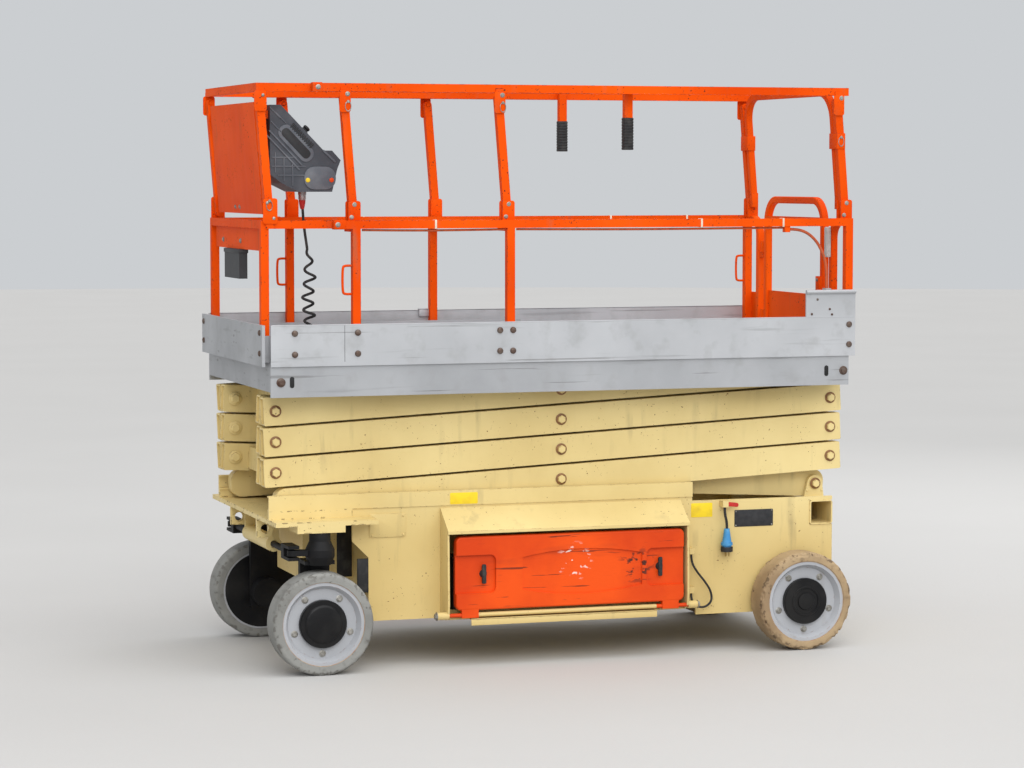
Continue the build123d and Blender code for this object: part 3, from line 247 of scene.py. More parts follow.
def rubber_finish(name, colour, scuff):
    return cloudy(name, colour, scuff, (35.0, 4.0), (0.45, 0.3), (420.0, 2.0), (0.55, 0.25), height=0.0006)


def repaint(node, material):
    """Give a solid of the machine its finish."""
    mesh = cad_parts[node].data
    mesh.materials.clear()
    mesh.materials.append(material)


both_sides = (("left", 1), ("right", -1))
facing = {"left": (90, 0, 180), "right": (90, 0, 0), "front": (90, 0, 90), "rear": (90, 0, -90),
          "up": (0, 0, 0), "down": (180, 0, 0)}


def chosen(piece):
    """Select one piece alone and make it the one that operators act on."""
    nothing_selected()
    piece.select_set(True)
    bpy.context.view_layer.objects.active = piece
    return piece


def set_at(piece, place, turn):
    """Turn a piece the way that it faces, move it to its place, and keep both in its mesh."""
    piece.rotation_euler = [radians(angle) for angle in turn]
    piece.location = place
    chosen(piece)
    bpy.ops.object.transform_apply(location=True, rotation=True, scale=True)
    return piece


def joined(pieces):
    """Several meshes welded into one piece."""
    nothing_selected()
    for piece in pieces:
        piece.select_set(True)
    bpy.context.view_layer.objects.active = pieces[0]
    if len(pieces) > 1:
        bpy.ops.object.join()
    return bpy.context.object


def spread(piece, places, turn):
    """A piece that repeats: one copy with its own mesh at each place, and the pattern piece taken away."""
    copies = []
    for place in places:
        twin = piece.copy()
        twin.data = piece.data.copy()
        bpy.context.scene.collection.objects.link(twin)
        copies.append(set_at(twin, place, turn))
    bpy.data.objects.remove(piece)
    return joined(copies)


def fitted(piece, name, material, body):
    """Name a finished piece, smooth its curves, and give it its finish and the body it moves with."""
    chosen(piece)
    bpy.ops.object.shade_smooth_by_angle(angle=radians(35))
    piece.name = name
    piece.data.materials.clear()
    piece.data.materials.append(material)
    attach(piece, body)
    return piece


def row(pattern, places, side, name, material, body):
    """A fitting that repeats on one side of the machine, finished as one piece."""
    return fitted(spread(pattern, places, facing[side]), name, material, body)


def switch(mode):
    """Go into a mesh to edit it, or back out to the whole object."""
    bpy.ops.object.mode_set(mode=mode)


def bar(x, y, z, edge=0.0015):
    """A plate or bar between two limits along each axis, with its edges broken."""
    nothing_selected()
    middle = [(low + high) / 2 for low, high in (x, y, z)]
    bpy.ops.mesh.primitive_cube_add(size=1.0, location=middle)
    piece = bpy.context.object
    piece.scale = [high - low for low, high in (x, y, z)]
    bpy.ops.object.transform_apply(location=True, rotation=True, scale=True)
    switch("EDIT")
    bpy.ops.mesh.bevel(offset=edge, segments=2, affect="EDGES")
    switch("OBJECT")
    return piece


def across(sign, low, high):
    """Limits across the machine, on its left or its right."""
    return tuple(sorted((sign * low, sign * high)))


def sheet_plate(width, height, thickness, corner):
    """A flat plate with rounded corners, lying face up: its outline first, then drawn out to its thickness."""
    nothing_selected()
    bpy.ops.mesh.primitive_plane_add(size=1.0)
    piece = bpy.context.object
    switch("EDIT")
    bpy.ops.transform.resize(value=(width, height, 1.0), center_override=(0, 0, 0))
    bpy.ops.mesh.bevel(offset=corner, segments=4, affect="VERTICES")
    bpy.ops.mesh.extrude_region_move(TRANSFORM_OT_translate={"value": (0, 0, thickness)})
    bpy.ops.mesh.select_all(action="SELECT")
    bpy.ops.mesh.normals_make_consistent(inside=False)
    switch("OBJECT")
    rim = piece.modifiers.new("rim", "BEVEL")
    rim.width = min(0.0012, thickness / 4)
    rim.segments = 2
    bpy.ops.object.modifier_apply(modifier=rim.name)
    return piece


def turned(rings, sides):
    """A lathe-turned piece, standing up: a disc drawn out along its axis through rings of radius and height."""
    nothing_selected()
    radius, height = rings[0]
    bpy.ops.mesh.primitive_circle_add(vertices=sides, radius=radius, fill_type="NGON", location=(0, 0, height))
    piece = bpy.context.object
    bpy.ops.object.transform_apply(location=True, rotation=True, scale=True)
    switch("EDIT")
    for wider, higher in rings[1:]:
        bpy.ops.mesh.extrude_region_move(TRANSFORM_OT_translate={"value": (0, 0, higher - height)})
        ratio = wider / radius
        bpy.ops.transform.resize(value=(ratio, ratio, 1.0), center_override=(0, 0, 0))
        radius, height = wider, higher
    bpy.ops.mesh.select_all(action="SELECT")
    bpy.ops.mesh.normals_make_consistent(inside=False)
    switch("OBJECT")
    return piece


def hex_bolt(size):
    """A hexagon bolt head on its washer, standing up."""
    washer = turned([(1.45 * size, 0), (1.45 * size, 0.16 * size), (1.3 * size, 0.24 * size)], 24)
    head = turned([(size, 0.2 * size), (size, 0.72 * size), (0.86 * size, 0.82 * size)], 6)
    return joined([washer, head])


def round_head(size):
    """A low domed bolt head, standing up."""
    return turned([(size, 0), (size, 0.25 * size), (0.82 * size, 0.5 * size), (0.45 * size, 0.66 * size)], 16)


def plain_metal(name, colour, shade, metallic):
    """Bare or plated steel: a slightly cloudy tone with a fine tooth."""
    return cloudy(name, colour, shade, (45.0, 4.0), (0.35, 0.3), (380.0, 3.0), (0.34, 0.3), metallic, 0.0004)


wall_face = 0.446
hinge_y = 0.538
hinge_z = 0.206
rust = (104, 62, 36)
# The cream paint carries painted shade low down on the chassis walls.
cream_paint = worn_paint("cream_paint", (228, 207, 146), (210, 187, 126), rust, tint=0.34)
for node in ("chassis_frame", "slide_channels", "rear_cross_tube", "rear_steps", "left_bay", "right_bay"):
    repaint(node, cream_paint)
knocked_cream = worn_paint("knocked_cream", (228, 207, 146), (210, 187, 126), (74, 46, 30), 0.66, 1.0, 0.010)
repaint("front_beam", knocked_cream)
battery_case = rubber_finish("battery_case", (30, 32, 36), (66, 66, 64))
repaint("battery_packs", battery_case)
black_rubber = rubber_finish("black_rubber", (24, 24, 26), (58, 57, 55))
red_plastic = rubber_finish("red_plastic", (190, 36, 30), (150, 40, 34))
plated_steel = plain_metal("plated_steel", (172, 170, 164), (132, 128, 120), 0.8)
dark_plate = plain_metal("dark_plate", (44, 45, 48), (58, 58, 60), 0.4)
yellow_plate = rubber_finish("yellow_plate", (238, 206, 30), (220, 188, 44))
data_plate = set_at(sheet_plate(0.172, 0.070, 0.0016, 0.004), (-0.850, wall_face, 0.540), facing["left"])
fitted(data_plate, "blank_data_plate", dark_plate, "chassis")
rivet_places = [(x, 0.4476, z) for x in (-0.930, -0.770) for z in (0.511, 0.569)]
row(round_head(0.0032), rivet_places, "left", "data_plate_rivets", plated_steel, "chassis")
for name, place, size in (("panel_marker", (-0.619, wall_face, 0.580), (0.094, 0.058)),
                          ("channel_marker", (0.405, 0.450, 0.664), (0.116, 0.046))):
    marker = set_at(sheet_plate(size[0], size[1], 0.0010, 0.004), place, facing["left"])
    fitted(marker, f"blank_{name}", yellow_plate, "chassis")
nose_shroud = bar((0.8662, 0.8690), (-0.217, 0.217), (0.336, 0.574), 0.001)
fitted(nose_shroud, "nose_shroud", black_rubber, "chassis")
for side, sign in both_sides:
    cover = set_at(sheet_plate(0.150, 0.094, 0.004, 0.008), (0.722, sign * wall_face, 0.566), facing[side])
    fitted(cover, f"{side}_valve_cover", cream_paint, "chassis")
    screws = [(x, sign * 0.450, z) for x in (0.658, 0.786) for z in (0.528, 0.604)]
    row(round_head(0.005), screws, side, f"{side}_valve_cover_screws", cream_paint, "chassis")
    shroud = bar((0.806, 0.867), across(sign, 0.2152, 0.2180), (0.336, 0.574), 0.001)
    fitted(shroud, f"{side}_nose_shroud", black_rubber, "chassis")
    guard = bar((0.792, 0.845), across(sign, 0.434, 0.444), (0.300, 0.436), 0.003)
    fitted(guard, f"{side}_wheel_guard", black_rubber, "chassis")
    sill = [bar((-0.385, 0.405), across(sign, 0.510, 0.5505), (0.1860, 0.1910)),
            bar((-0.385, 0.405), across(sign, 0.5470, 0.5505), (0.1640, 0.1915))]
    fitted(joined(sill), f"{side}_door_sill", cream_paint, "chassis")
    for end, x in (("rear", -0.564), ("front", 0.545)):
        row(hex_bolt(0.012), [(x, sign * hinge_y, hinge_z)], end, f"{side}_{end}_hinge_nut", plated_steel,
            "chassis")

# Charger lead
# A short black rubber lead that hangs from a red clip on the left rear panel, with a blue moulded plug on its
# end. The lead is one extruded cord, the plug a push-on moulding with three brass blades.
lead_diameter = 0.011
lead_route = [(-0.710, 0.473, 0.592), (-0.710, 0.473, 0.564), (-0.720, 0.473, 0.531), (-0.720, 0.473, 0.503)]


def cord_line(name, route):
    """A smooth line through a cord's given points, pulled in at its corners as a limp cord is."""
    line = bpy.data.curves.new(name, "CURVE")
    line.dimensions = "3D"
    line.resolution_u = 16
    spline = line.splines.new("NURBS")
    spline.points.add(len(route) - 1)
    for point, place in zip(spline.points, route):
        point.co = (*place, 1.0)
    spline.order_u = 3
    spline.use_endpoint_u = True
    return line


def cord_piece(name, route, diameter, material):
    """A round cord along a smooth line."""
    line = cord_line(name, route)
    line.bevel_depth = diameter / 2
    line.bevel_resolution = 5
    line.use_fill_caps = True
    line.materials.append(material)
    piece = bpy.data.objects.new(name, line)
    bpy.context.scene.collection.objects.link(piece)
    return piece


def tube_mesh(piece):
    """The same cord or bent rod as a mesh."""
    chosen(piece)
    bpy.ops.object.convert(target="MESH")
    return bpy.context.object


blue_moulding = rubber_finish("blue_moulding", (56, 134, 188), (88, 158, 204))
repaint("charger_plug", blue_moulding)
clip_lever = set_at(sheet_plate(0.052, 0.017, 0.012, 0.007), (-0.742, 0.470, 0.602), (90, 6, 180))
fitted(clip_lever, "lead_clip_lever", red_plastic, "chassis")
brass = plain_metal("brass", (186, 156, 92), (150, 120, 66), 0.9)
plug_end = set_at(turned([(0.0205, -0.001), (0.0248, 0.000), (0.0248, 0.018), (0.0235, 0.020)], 28),
                  (-0.720, 0.473, 0.408), facing["up"])
fitted(plug_end, "charger_plug_end", black_rubber, "chassis")
blades = [bar((-0.720 + x - 0.0014, -0.720 + x + 0.0014), (0.473 + y - 0.003, 0.473 + y + 0.003),
              (0.388, 0.409), 0.0006) for x, y in ((-0.008, 0.004), (0.008, 0.004), (0.0, -0.009))]
plug_blades = fitted(joined(blades), "charger_plug_blades", brass, "chassis")
charger_lead = cord_piece("charger_lead_cord", lead_route, lead_diameter, black_rubber)
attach(charger_lead, "chassis")
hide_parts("charger_lead")

# Loop cable
# A black jacketed cable that drops out of a clip on the rear panel, swings out behind the door and goes back
# into a socket by the sill. It is held at its two ends only.
loop_diameter = 0.009
loop_route = [(-0.563, 0.473, 0.404), (-0.563, 0.473, 0.372), (-0.587, 0.476, 0.330), (-0.621, 0.478, 0.290),
              (-0.649, 0.478, 0.248), (-0.654, 0.477, 0.206), (-0.624, 0.476, 0.181), (-0.588, 0.474, 0.185),
              (-0.563, 0.473, 0.214), (-0.563, 0.473, 0.243)]
loop_cable = cord_piece("loop_cable_cord", loop_route, loop_diameter, black_rubber)
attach(loop_cable, "chassis")
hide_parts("loop_cable")

# Side doors
# Rotationally moulded orange plastic, hinged along the foot on a steel pin, with an arched grip recess in the
# middle and a pocket at each end for a black quarter-turn latch.


def scuffed_moulding():
    """Moulded plastic, coloured through: rubbed lines, pale gouges by the grip and dark ones by a latch."""
    finish = Finish("orange_moulding")
    broad = finish.noise(3.0, 4.0)
    line = finish.noise(34.0, 6.0, (0.12, 1.0, 2.4))
    smear = finish.noise(7.0, 6.0, (0.4, 1.0, 1.8))
    fleck = finish.noise(46.0, 5.0, (0.6, 1.0, 1.0))

    def near(place, reach):
        """Full at a place on the door and nothing past its reach, seen square to the door."""
        placed = finish.node("ShaderNodeMapping", {}, finish.place, Location=(-place[0], 0.0, -place[1]),
                             Scale=(1.0, 0.0, 1.0))
        away = finish.node("ShaderNodeVectorMath", {"operation": "LENGTH"}, placed, out="Value")
        return 1 - away.over(0.4 * reach, 0.6 * reach)

    tone = finish.mix(broad.over(0.4, 0.25), (206, 62, 8), (230, 80, 12))
    rubbed = finish.mix(0.35 * smear.over(0.58, 0.12), tone, (150, 52, 22))
    lined = finish.mix(0.8 * line.over(0.665, 0.03), rubbed, (92, 40, 26))
    dark = finish.mix(near((-0.300, 0.375), 0.090) * fleck.over(0.54, 0.05), lined, (76, 40, 30))
    gouge = near((-0.030, 0.405), 0.085) * fleck.over(0.60, 0.03)
    marked = finish.mix(gouge, dark, (240, 232, 222))
    orange_peel = finish.noise(150.0, 2.0)
    return finish.cover(marked, 0.36 + 0.25 * smear, bumps=orange_peel - gouge, height=0.0008, gloss=0.22)


orange_moulding = scuffed_moulding()
for side, sign in both_sides:
    repaint(f"{side}_door", orange_moulding)
    handles = []
    for x in (0.352, -0.398):
        stem = set_at(turned([(0.016, 0), (0.014, 0.004), (0.009, 0.010)], 20), (x, sign * 0.536, 0.369),
                      facing[side])
        grip_y = across(sign, 0.543, 0.556)
        handles += [stem, bar((x - 0.009, x + 0.009), grip_y, (0.330, 0.408), 0.005)]
    fitted(joined(handles), f"{side}_door_latches", black_rubber, f"door_{side}")
    tube = turned([(0.0075, 0.0), (0.0087, 0.0012), (0.0087, 0.7888), (0.0075, 0.79)], 24)
    set_at(tube, (-0.385, sign * hinge_y, hinge_z), facing["front"])
    fitted(tube, f"{side}_hinge_tube", cream_paint, f"door_{side}")

# Steering and drive
# Cast black iron knuckles with hydraulic drive motors bolted on, and a double-ended steering rod with a fork at
# each end that pulls on the knuckles' arms.


def iron_finish(name, colour, dust, roughness):
    """Cast iron under black paint: a sandy skin with a film of dust."""
    return cloudy(name, colour, dust, (8.0, 5.0), (0.45, 0.3), (160.0, 4.0), (roughness, 0.35), 0.2, 0.001, 0.3)


black_iron = iron_finish("black_iron", (16, 16, 18), (40, 38, 36), 0.46)
for node in ("left_knuckle", "right_knuckle", "steer_tie_bar"):
    repaint(node, black_iron)

# Wheels
# Solid non-marking rubber pressed on painted steel discs. The front pair is steered and grey with two-step
# black hubs, the rear pair is tan, chunked from kerbs, with domed hubs. Five nuts hold each disc.
hub_steps = [(0.095, 0.0), (0.095, 0.019), (0.0915, 0.0232), (0.076, 0.0236), (0.072, 0.0282), (0.066, 0.0298),
             (0.012, 0.0303)]
dome_steps = [(0.095, 0.0), (0.095, 0.018), (0.0915, 0.0228), (0.062, 0.0230), (0.060, 0.0256), (0.054, 0.0256),
              (0.052, 0.0226), (0.037, 0.0226), (0.034, 0.0284), (0.024, 0.0298), (0.008, 0.0303)]
dish_y = 0.5545
rim_face_y = 0.5795
wheel_z = 0.202
tyre_middle = 0.5225
front_axle_x = 1.018
rear_axle_x = -1.030
nut_ring = 0.118
other_side = {"left": "right", "right": "left"}


def tyre_finish(name, axle_x, colour, worn, dirt):
    """Cured rubber: cloudy, gritty and scraped, torn and dark along the shoulders of the tread."""
    finish = Finish(name)
    placed = finish.node("ShaderNodeMapping", {}, finish.place, Location=(-axle_x, 0.0, -wheel_z),
                         Scale=(1.0, 0.0, 1.0))
    radius = finish.node("ShaderNodeVectorMath", {"operation": "LENGTH"}, placed, out="Value")
    sideways = finish.node("ShaderNodeSeparateXYZ", {}, finish.place, out="Y")
    from_middle = radius.math("ABSOLUTE", radius.math("ABSOLUTE", sideways) - tyre_middle)
    shoulder = radius.over(0.184, 0.010) * from_middle.over(0.040, 0.014)
    broad = finish.noise(6.0, 5.0)
    grit = finish.noise(220.0, 4.0)
    scrape = finish.noise(30.0, 5.0, (1.0, 0.2, 1.0))
    chunk = finish.noise(48.0, 6.0)
    torn = chunk.over(0.66 - 0.13 * shoulder, 0.05)
    tone = finish.mix(broad.over(0.4, 0.25), colour, worn)
    marked = finish.mix(0.6 * scrape.over(0.56, 0.15), tone, dirt)
    split = finish.mix(0.7 * torn, marked, dirt)
    return finish.cover(split, 0.78 + 0.15 * grit, bumps=grit + 2 * scrape - 3 * torn, height=0.002)


grey_tyre = tyre_finish("grey_tyre", front_axle_x, (140, 140, 136), (124, 124, 120), (100, 97, 92))
tan_tyre = tyre_finish("tan_tyre", rear_axle_x, (172, 148, 114), (146, 122, 92), (84, 66, 48))
rim_paint = worn_paint("rim_paint", (176, 178, 182), (160, 162, 166), (126, 84, 58), 0.72, 0.7)
hub_paint = iron_finish("hub_paint", (15, 15, 17), (36, 35, 34), 0.24)
bead_rust = plain_metal("bead_rust", (158, 112, 82), (176, 160, 136), 0.1)


def ring(radius, thickness, sides, stretch):
    """A round ring that lies flat, stretched along its axes."""
    nothing_selected()
    bpy.ops.mesh.primitive_torus_add(major_radius=radius, minor_radius=thickness, major_segments=sides,
                                     minor_segments=8)
    switch("EDIT")
    bpy.ops.transform.resize(value=stretch, center_override=(0, 0, 0))
    switch("OBJECT")
    return bpy.context.object


def ramp(value, edge, softness):
    """Nothing below the edge, full above it, and a ramp as wide as the softness between."""
    return min(max((value - edge) / softness, 0.0), 1.0)


def torn_tyre(wheel):
    """A tyre that kerbs have bitten: its own form in small even faces, rubber gone along both shoulders."""
    tyre = bpy.data.objects.new(f"{wheel}_torn_tyre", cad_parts[f"{wheel}_tyre"].data.copy())
    bpy.context.scene.collection.objects.link(tyre)
    chosen(tyre)
    switch("EDIT")
    bpy.ops.mesh.select_all(action="SELECT")
    bpy.ops.mesh.remove_doubles(threshold=0.00005)
    switch("OBJECT")
    even = tyre.modifiers.new("even", "REMESH")
    even.mode = "VOXEL"
    even.voxel_size = 0.004
    bpy.ops.object.modifier_apply(modifier=even.name)
    bites = tyre.vertex_groups.new(name="bites")
    for vertex in tyre.data.vertices:
        x, y, z = vertex.co
        beside = ramp(abs(abs(y) - tyre_middle), 0.042, 0.010)
        shoulder = ramp(hypot(x - rear_axle_x, z - wheel_z), 0.186, 0.010) * beside
        nibble = 0.4 * ramp(noise.noise(vertex.co * 130.0), 0.0, 0.4)
        depth = ramp(noise.noise(vertex.co * 42.0), 0.02, 0.30) + nibble
        bites.add([vertex.index], min(shoulder * depth, 1.0), "REPLACE")
    bitten = tyre.modifiers.new("bitten", "DISPLACE")
    bitten.vertex_group = bites.name
    bitten.strength = -0.008
    bitten.mid_level = 0.0
    bpy.ops.object.modifier_apply(modifier=bitten.name)
    fitted(tyre, f"{wheel}_torn_tyre", tan_tyre, f"{wheel}_wheel")
    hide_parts(f"{wheel}_tyre")


for end, axle_x, rings in (("front", front_axle_x, hub_steps), ("rear", rear_axle_x, dome_steps)):
    for side, sign in both_sides:
        wheel = f"{end}_{side}"
        if end == "front":
            repaint(f"{wheel}_tyre", grey_tyre)
        else:
            torn_tyre(wheel)
        repaint(f"{wheel}_rim", rim_paint)
        hub = set_at(turned(rings, 48), (axle_x, sign * dish_y, wheel_z), facing[side])
        fitted(hub, f"{wheel}_hub", hub_paint, f"{wheel}_wheel")
        # A thin black annulus on the inner side of each rim: partly the rim's own black inside, partly painted
        # shade inside the wheel.
        nothing_selected()
        bpy.ops.mesh.primitive_circle_add(vertices=48, radius=0.158, fill_type="NOTHING")
        shade = bpy.context.object
        switch("EDIT")
        bpy.ops.mesh.extrude_region_move()
        bpy.ops.transform.resize(value=(0.3, 0.3, 1.0), center_override=(0, 0, 0))
        bpy.ops.mesh.select_all(action="SELECT")
        bpy.ops.mesh.extrude_region_move(TRANSFORM_OT_translate={"value": (0, 0, 0.0012)})
        bpy.ops.mesh.select_all(action="SELECT")
        bpy.ops.mesh.normals_make_consistent(inside=False)
        switch("OBJECT")
        set_at(shade, (axle_x, sign * 0.4652, wheel_z), facing[other_side[side]])
        fitted(shade, f"{wheel}_inner_face", hub_paint, f"{wheel}_wheel")
        spots = []
        for number in range(5):
            angle = radians(72 * number + 36)
            spots.append((axle_x + nut_ring * sin(angle), sign * dish_y, wheel_z + nut_ring * cos(angle)))
        row(hex_bolt(0.0095), spots, side, f"{wheel}_nuts", plated_steel, f"{wheel}_wheel")
        bead = ring(0.1665, 0.0034, 72, (1.0, 1.0, 0.7))
        set_at(bead, (axle_x, sign * rim_face_y, wheel_z), facing[side])
        fitted(bead, f"{wheel}_bead", bead_rust, f"{wheel}_wheel")

# Scissor arms
# Deep rectangular steel tubes in pairs, painted cream, that turn on pins through bored bosses. Cross tubes weld
# the inner pair of each stage together, and a bolt with a stained washer keeps each pin.
centre_x = -0.0165
front_x = 1.169
rear_x = -1.202
stage_z = (0.7253, 0.8467, 0.9680, 1.0894)
pin_drop = 0.0607
outer_face = 0.420
inner_face = 0.286
pin_washer = [(0.0235, 0), (0.0235, 0.0026), (0.0215, 0.0036)]
pin_head = [(0.0165, 0), (0.0165, 0.0105), (0.0140, 0.0125)]
base_pin = (-1.156, 0.667)
base_pin_face = 0.377
base_lug_face = 0.373
washer_stain = plain_metal("washer_stain", (112, 74, 42), (146, 106, 62), 0.1)
for stage in range(1, 5):
    repaint(f"inner_arms_{stage}", cream_paint)
    repaint(f"outer_arms_{stage}", cream_paint)
    z = stage_z[stage - 1]
    spots = [(centre_x, z)]
    if stage > 1:
        spots.append((front_x, z - pin_drop))
    if stage < 4:
        spots.append((rear_x, z + pin_drop))
    for side, sign in both_sides:
        row(turned(pin_washer, 28), [(x, sign * outer_face, h) for x, h in spots], side,
            f"outer_{stage}_{side}_washers", washer_stain, f"outer_{stage}")
        row(turned(pin_head, 6), [(x, sign * (outer_face + 0.003), h) for x, h in spots], side,
            f"outer_{stage}_{side}_bolts", cream_paint, f"outer_{stage}")
        row(hex_bolt(0.019), [(x, sign * inner_face, h) for x, h in spots], other_side[side],
            f"outer_{stage}_{side}_pin_nuts", cream_paint, f"outer_{stage}")

for side, sign in both_sides:
    x, z = base_pin
    washer = set_at(turned(pin_washer, 28), (x, sign * base_pin_face, z), facing[side])
    fitted(washer, f"{side}_base_pin_washer", washer_stain, "chassis")
    head = set_at(turned(pin_head, 6), (x, sign * (base_pin_face + 0.003), z), facing[side])
    screws = spread(round_head(0.0055), [(x + shift, sign * base_lug_face, z - 0.030)
                                         for shift in (-0.031, 0.034)], facing[side])
    fitted(joined([head, screws]), f"{side}_base_pin_bolts", cream_paint, "chassis")

# Lift cylinder
# A single hydraulic cylinder between the first and third stages: a painted barrel and a chromed rod.


def chrome_finish():
    finish = Finish("chrome_rod")
    wipe = finish.noise(40.0, 4.0, (1.0, 1.0, 0.1))
    colour = finish.mix(wipe, (196, 198, 202), (222, 223, 226))
    return finish.cover(colour, 0.12 + 0.18 * wipe, 1.0)


repaint("lift_barrel", black_iron)
repaint("lift_rod", chrome_finish())

# Deck
# Aluminium plate and extrusion, left bare: the deck with its skirts, toe-boards bolted along the edges, the
# cable cover at the rear, and the sliding deck with its front plate.
board_face = 0.560
skirt_face = 0.552
plate_face = 1.250


def aluminium_finish(name, shade, colour):
    """Mill-finish aluminium: cloudy oxide, long drag scratches, dark rubbed patches along the middle."""
    finish = Finish(name)
    cloud = finish.noise(2.6, 6.0)
    blotch = finish.noise(13.0, 6.0)
    brush = finish.noise(60.0, 4.0, (0.06, 1.0, 1.0))
    scratch = finish.noise(12.0, 6.0, (0.10, 1.0, 4.0))
    drag = finish.noise(7.0, 6.0, (0.22, 1.0, 5.0))
    tone = finish.mix(cloud.over(0.35, 0.35), shade, colour)
    stained = finish.mix(0.35 * blotch.over(0.54, 0.16), tone, (150, 150, 150))
    rubbed = finish.mix(0.32 * drag.over(0.62, 0.06), stained, (124, 124, 125))
    cut = scratch.over(0.665, 0.02)
    marked = finish.mix(0.45 * cut, rubbed, (96, 94, 92))
    return finish.cover(marked, 0.44 + 0.2 * blotch, 0.35, bumps=brush - cut, height=0.0005)


bare_aluminium = aluminium_finish("bare_aluminium", (172, 174, 177), (190, 192, 195))
dull_aluminium = aluminium_finish("dull_aluminium", (156, 158, 161), (176, 178, 181))
for node, material in (("main_deck", dull_aluminium), ("toe_boards", bare_aluminium),
                       ("cable_cover", bare_aluminium), ("extension_deck", dull_aluminium)):
    repaint(node, material)
brown_bolt = plain_metal("brown_bolt", (84, 62, 52), (112, 100, 92), 0.5)
# Near black: the dark seam between toe-boards, and painted shade for the skirt slots.
dark_seam_and_slot_shade = rubber_finish("dark_seam_and_slot_shade", (14, 14, 15), (26, 26, 27))
for side, sign in both_sides:
    columns = (0.288, 0.234, 0.871, 1.124, -1.222)
    spots = [(x, sign * board_face, z) for x in columns for z in (1.258, 1.340)]
    row(round_head(0.0125), spots, side, f"{side}_toe_board_bolts", brown_bolt, "platform")
    seam = bar((0.923, 0.9246), across(sign, 0.5590, 0.5604), (1.227, 1.371), 0.0003)
    fitted(seam, f"{side}_toe_board_seam", dark_seam_and_slot_shade, "platform")
    row(hex_bolt(0.0125), [(x, sign * skirt_face, 1.150) for x in (1.178, -1.201)], side, f"{side}_skirt_bolts",
        brown_bolt, "platform")
    # The slots are thin near-black plates on the skirt face: painted shade where the openings are.
    row(sheet_plate(0.018, 0.044, 0.0012, 0.0085), [(x, sign * skirt_face, 1.150) for x in (1.134, -1.125)],
        side, f"{side}_skirt_slots", dark_seam_and_slot_shade, "platform")
    lip = bar((-1.245, 1.215), across(sign, 0.5520, 0.5606), (1.3690, 1.3735), 0.0012)
    fitted(lip, f"{side}_toe_board_lip", bare_aluminium, "platform")
row(round_head(0.0115), [(plate_face, y, z) for y in (-0.505, 0.505) for z in (1.262, 1.342)], "front",
    "front_plate_bolts", brown_bolt, "extension")
row(round_head(0.005), [(-1.080, board_face, 1.444), (-1.135, board_face, 1.404), (-1.055, board_face, 1.384),
                        (-1.145, board_face, 1.382)], "left", "cable_cover_screws", brown_bolt, "platform")
hook_parts = [bar((0.252, 0.298), (-0.5660, -0.5605), (1.330, 1.3785)),
              bar((0.252, 0.298), (-0.5660, -0.5420), (1.3738, 1.3790)),
              bar((0.252, 0.298), (-0.5465, -0.5420), (1.345, 1.3785))]
fitted(joined(hook_parts), "toe_board_hook", bare_aluminium, "platform")

# Guard rails
# Square steel tube and plate, powder coated orange and knocked about: lower rails welded up with their posts,
# folding upper posts held in clevis plates by bolts and ring pins, and top rails with end collars.
post_x = (0.872, 0.239, -1.225)
post_lean = 0.036
clevis_z = 1.809
hanger_z = 2.240
rail_y = 0.536
orange_paint = worn_paint("orange_paint", (238, 86, 8), (216, 68, 3), (66, 44, 36), 0.645, 1.0, gloss=0.05)
for node in ("left_guard_rail", "right_guard_rail", "rear_jambs", "entry_gate", "front_upper_posts",
             "mid_upper_posts", "rear_upper_posts", "top_rails", "extension_frame", "lower_panel",
             "extension_posts", "extension_panel", "extension_top_rail"):
    repaint(node, orange_paint)
brown_jacket = rubber_finish("brown_jacket", (186, 82, 38), (140, 70, 44))
pale_band = rubber_finish("pale_band", (226, 214, 196), (200, 186, 164))
grey_box = rubber_finish("grey_box", (182, 182, 180), (160, 158, 154))


def clevis_plate(width, height, thickness):
    """A bracket plate with its upper corners well rounded."""
    return sheet_plate(width, height, thickness, 0.010)


def ring_pin(place, turn):
    """A locking pin's pull ring, hanging by the plate that the pin goes through."""
    pull = set_at(ring(0.015, 0.0018, 28, (0.78, 1.25, 1.0)), (place[0], place[1], place[2] - 0.018), turn)
    return joined([pull, set_at(turned([(0.006, -0.004), (0.006, 0.003), (0.004, 0.005)], 14), place, turn)])


def grab_loop(name, x, sign, z):
    """A bent steel rod on a post to hold while climbing in."""
    y = sign * rail_y
    route = [(x, y, z + 0.055), (x + 0.030, y, z + 0.057), (x + 0.038, y, z + 0.045), (x + 0.038, y, z - 0.045),
             (x + 0.030, y, z - 0.057), (x, y, z - 0.055)]
    return tube_mesh(cord_piece(name, route, 0.010, orange_paint))


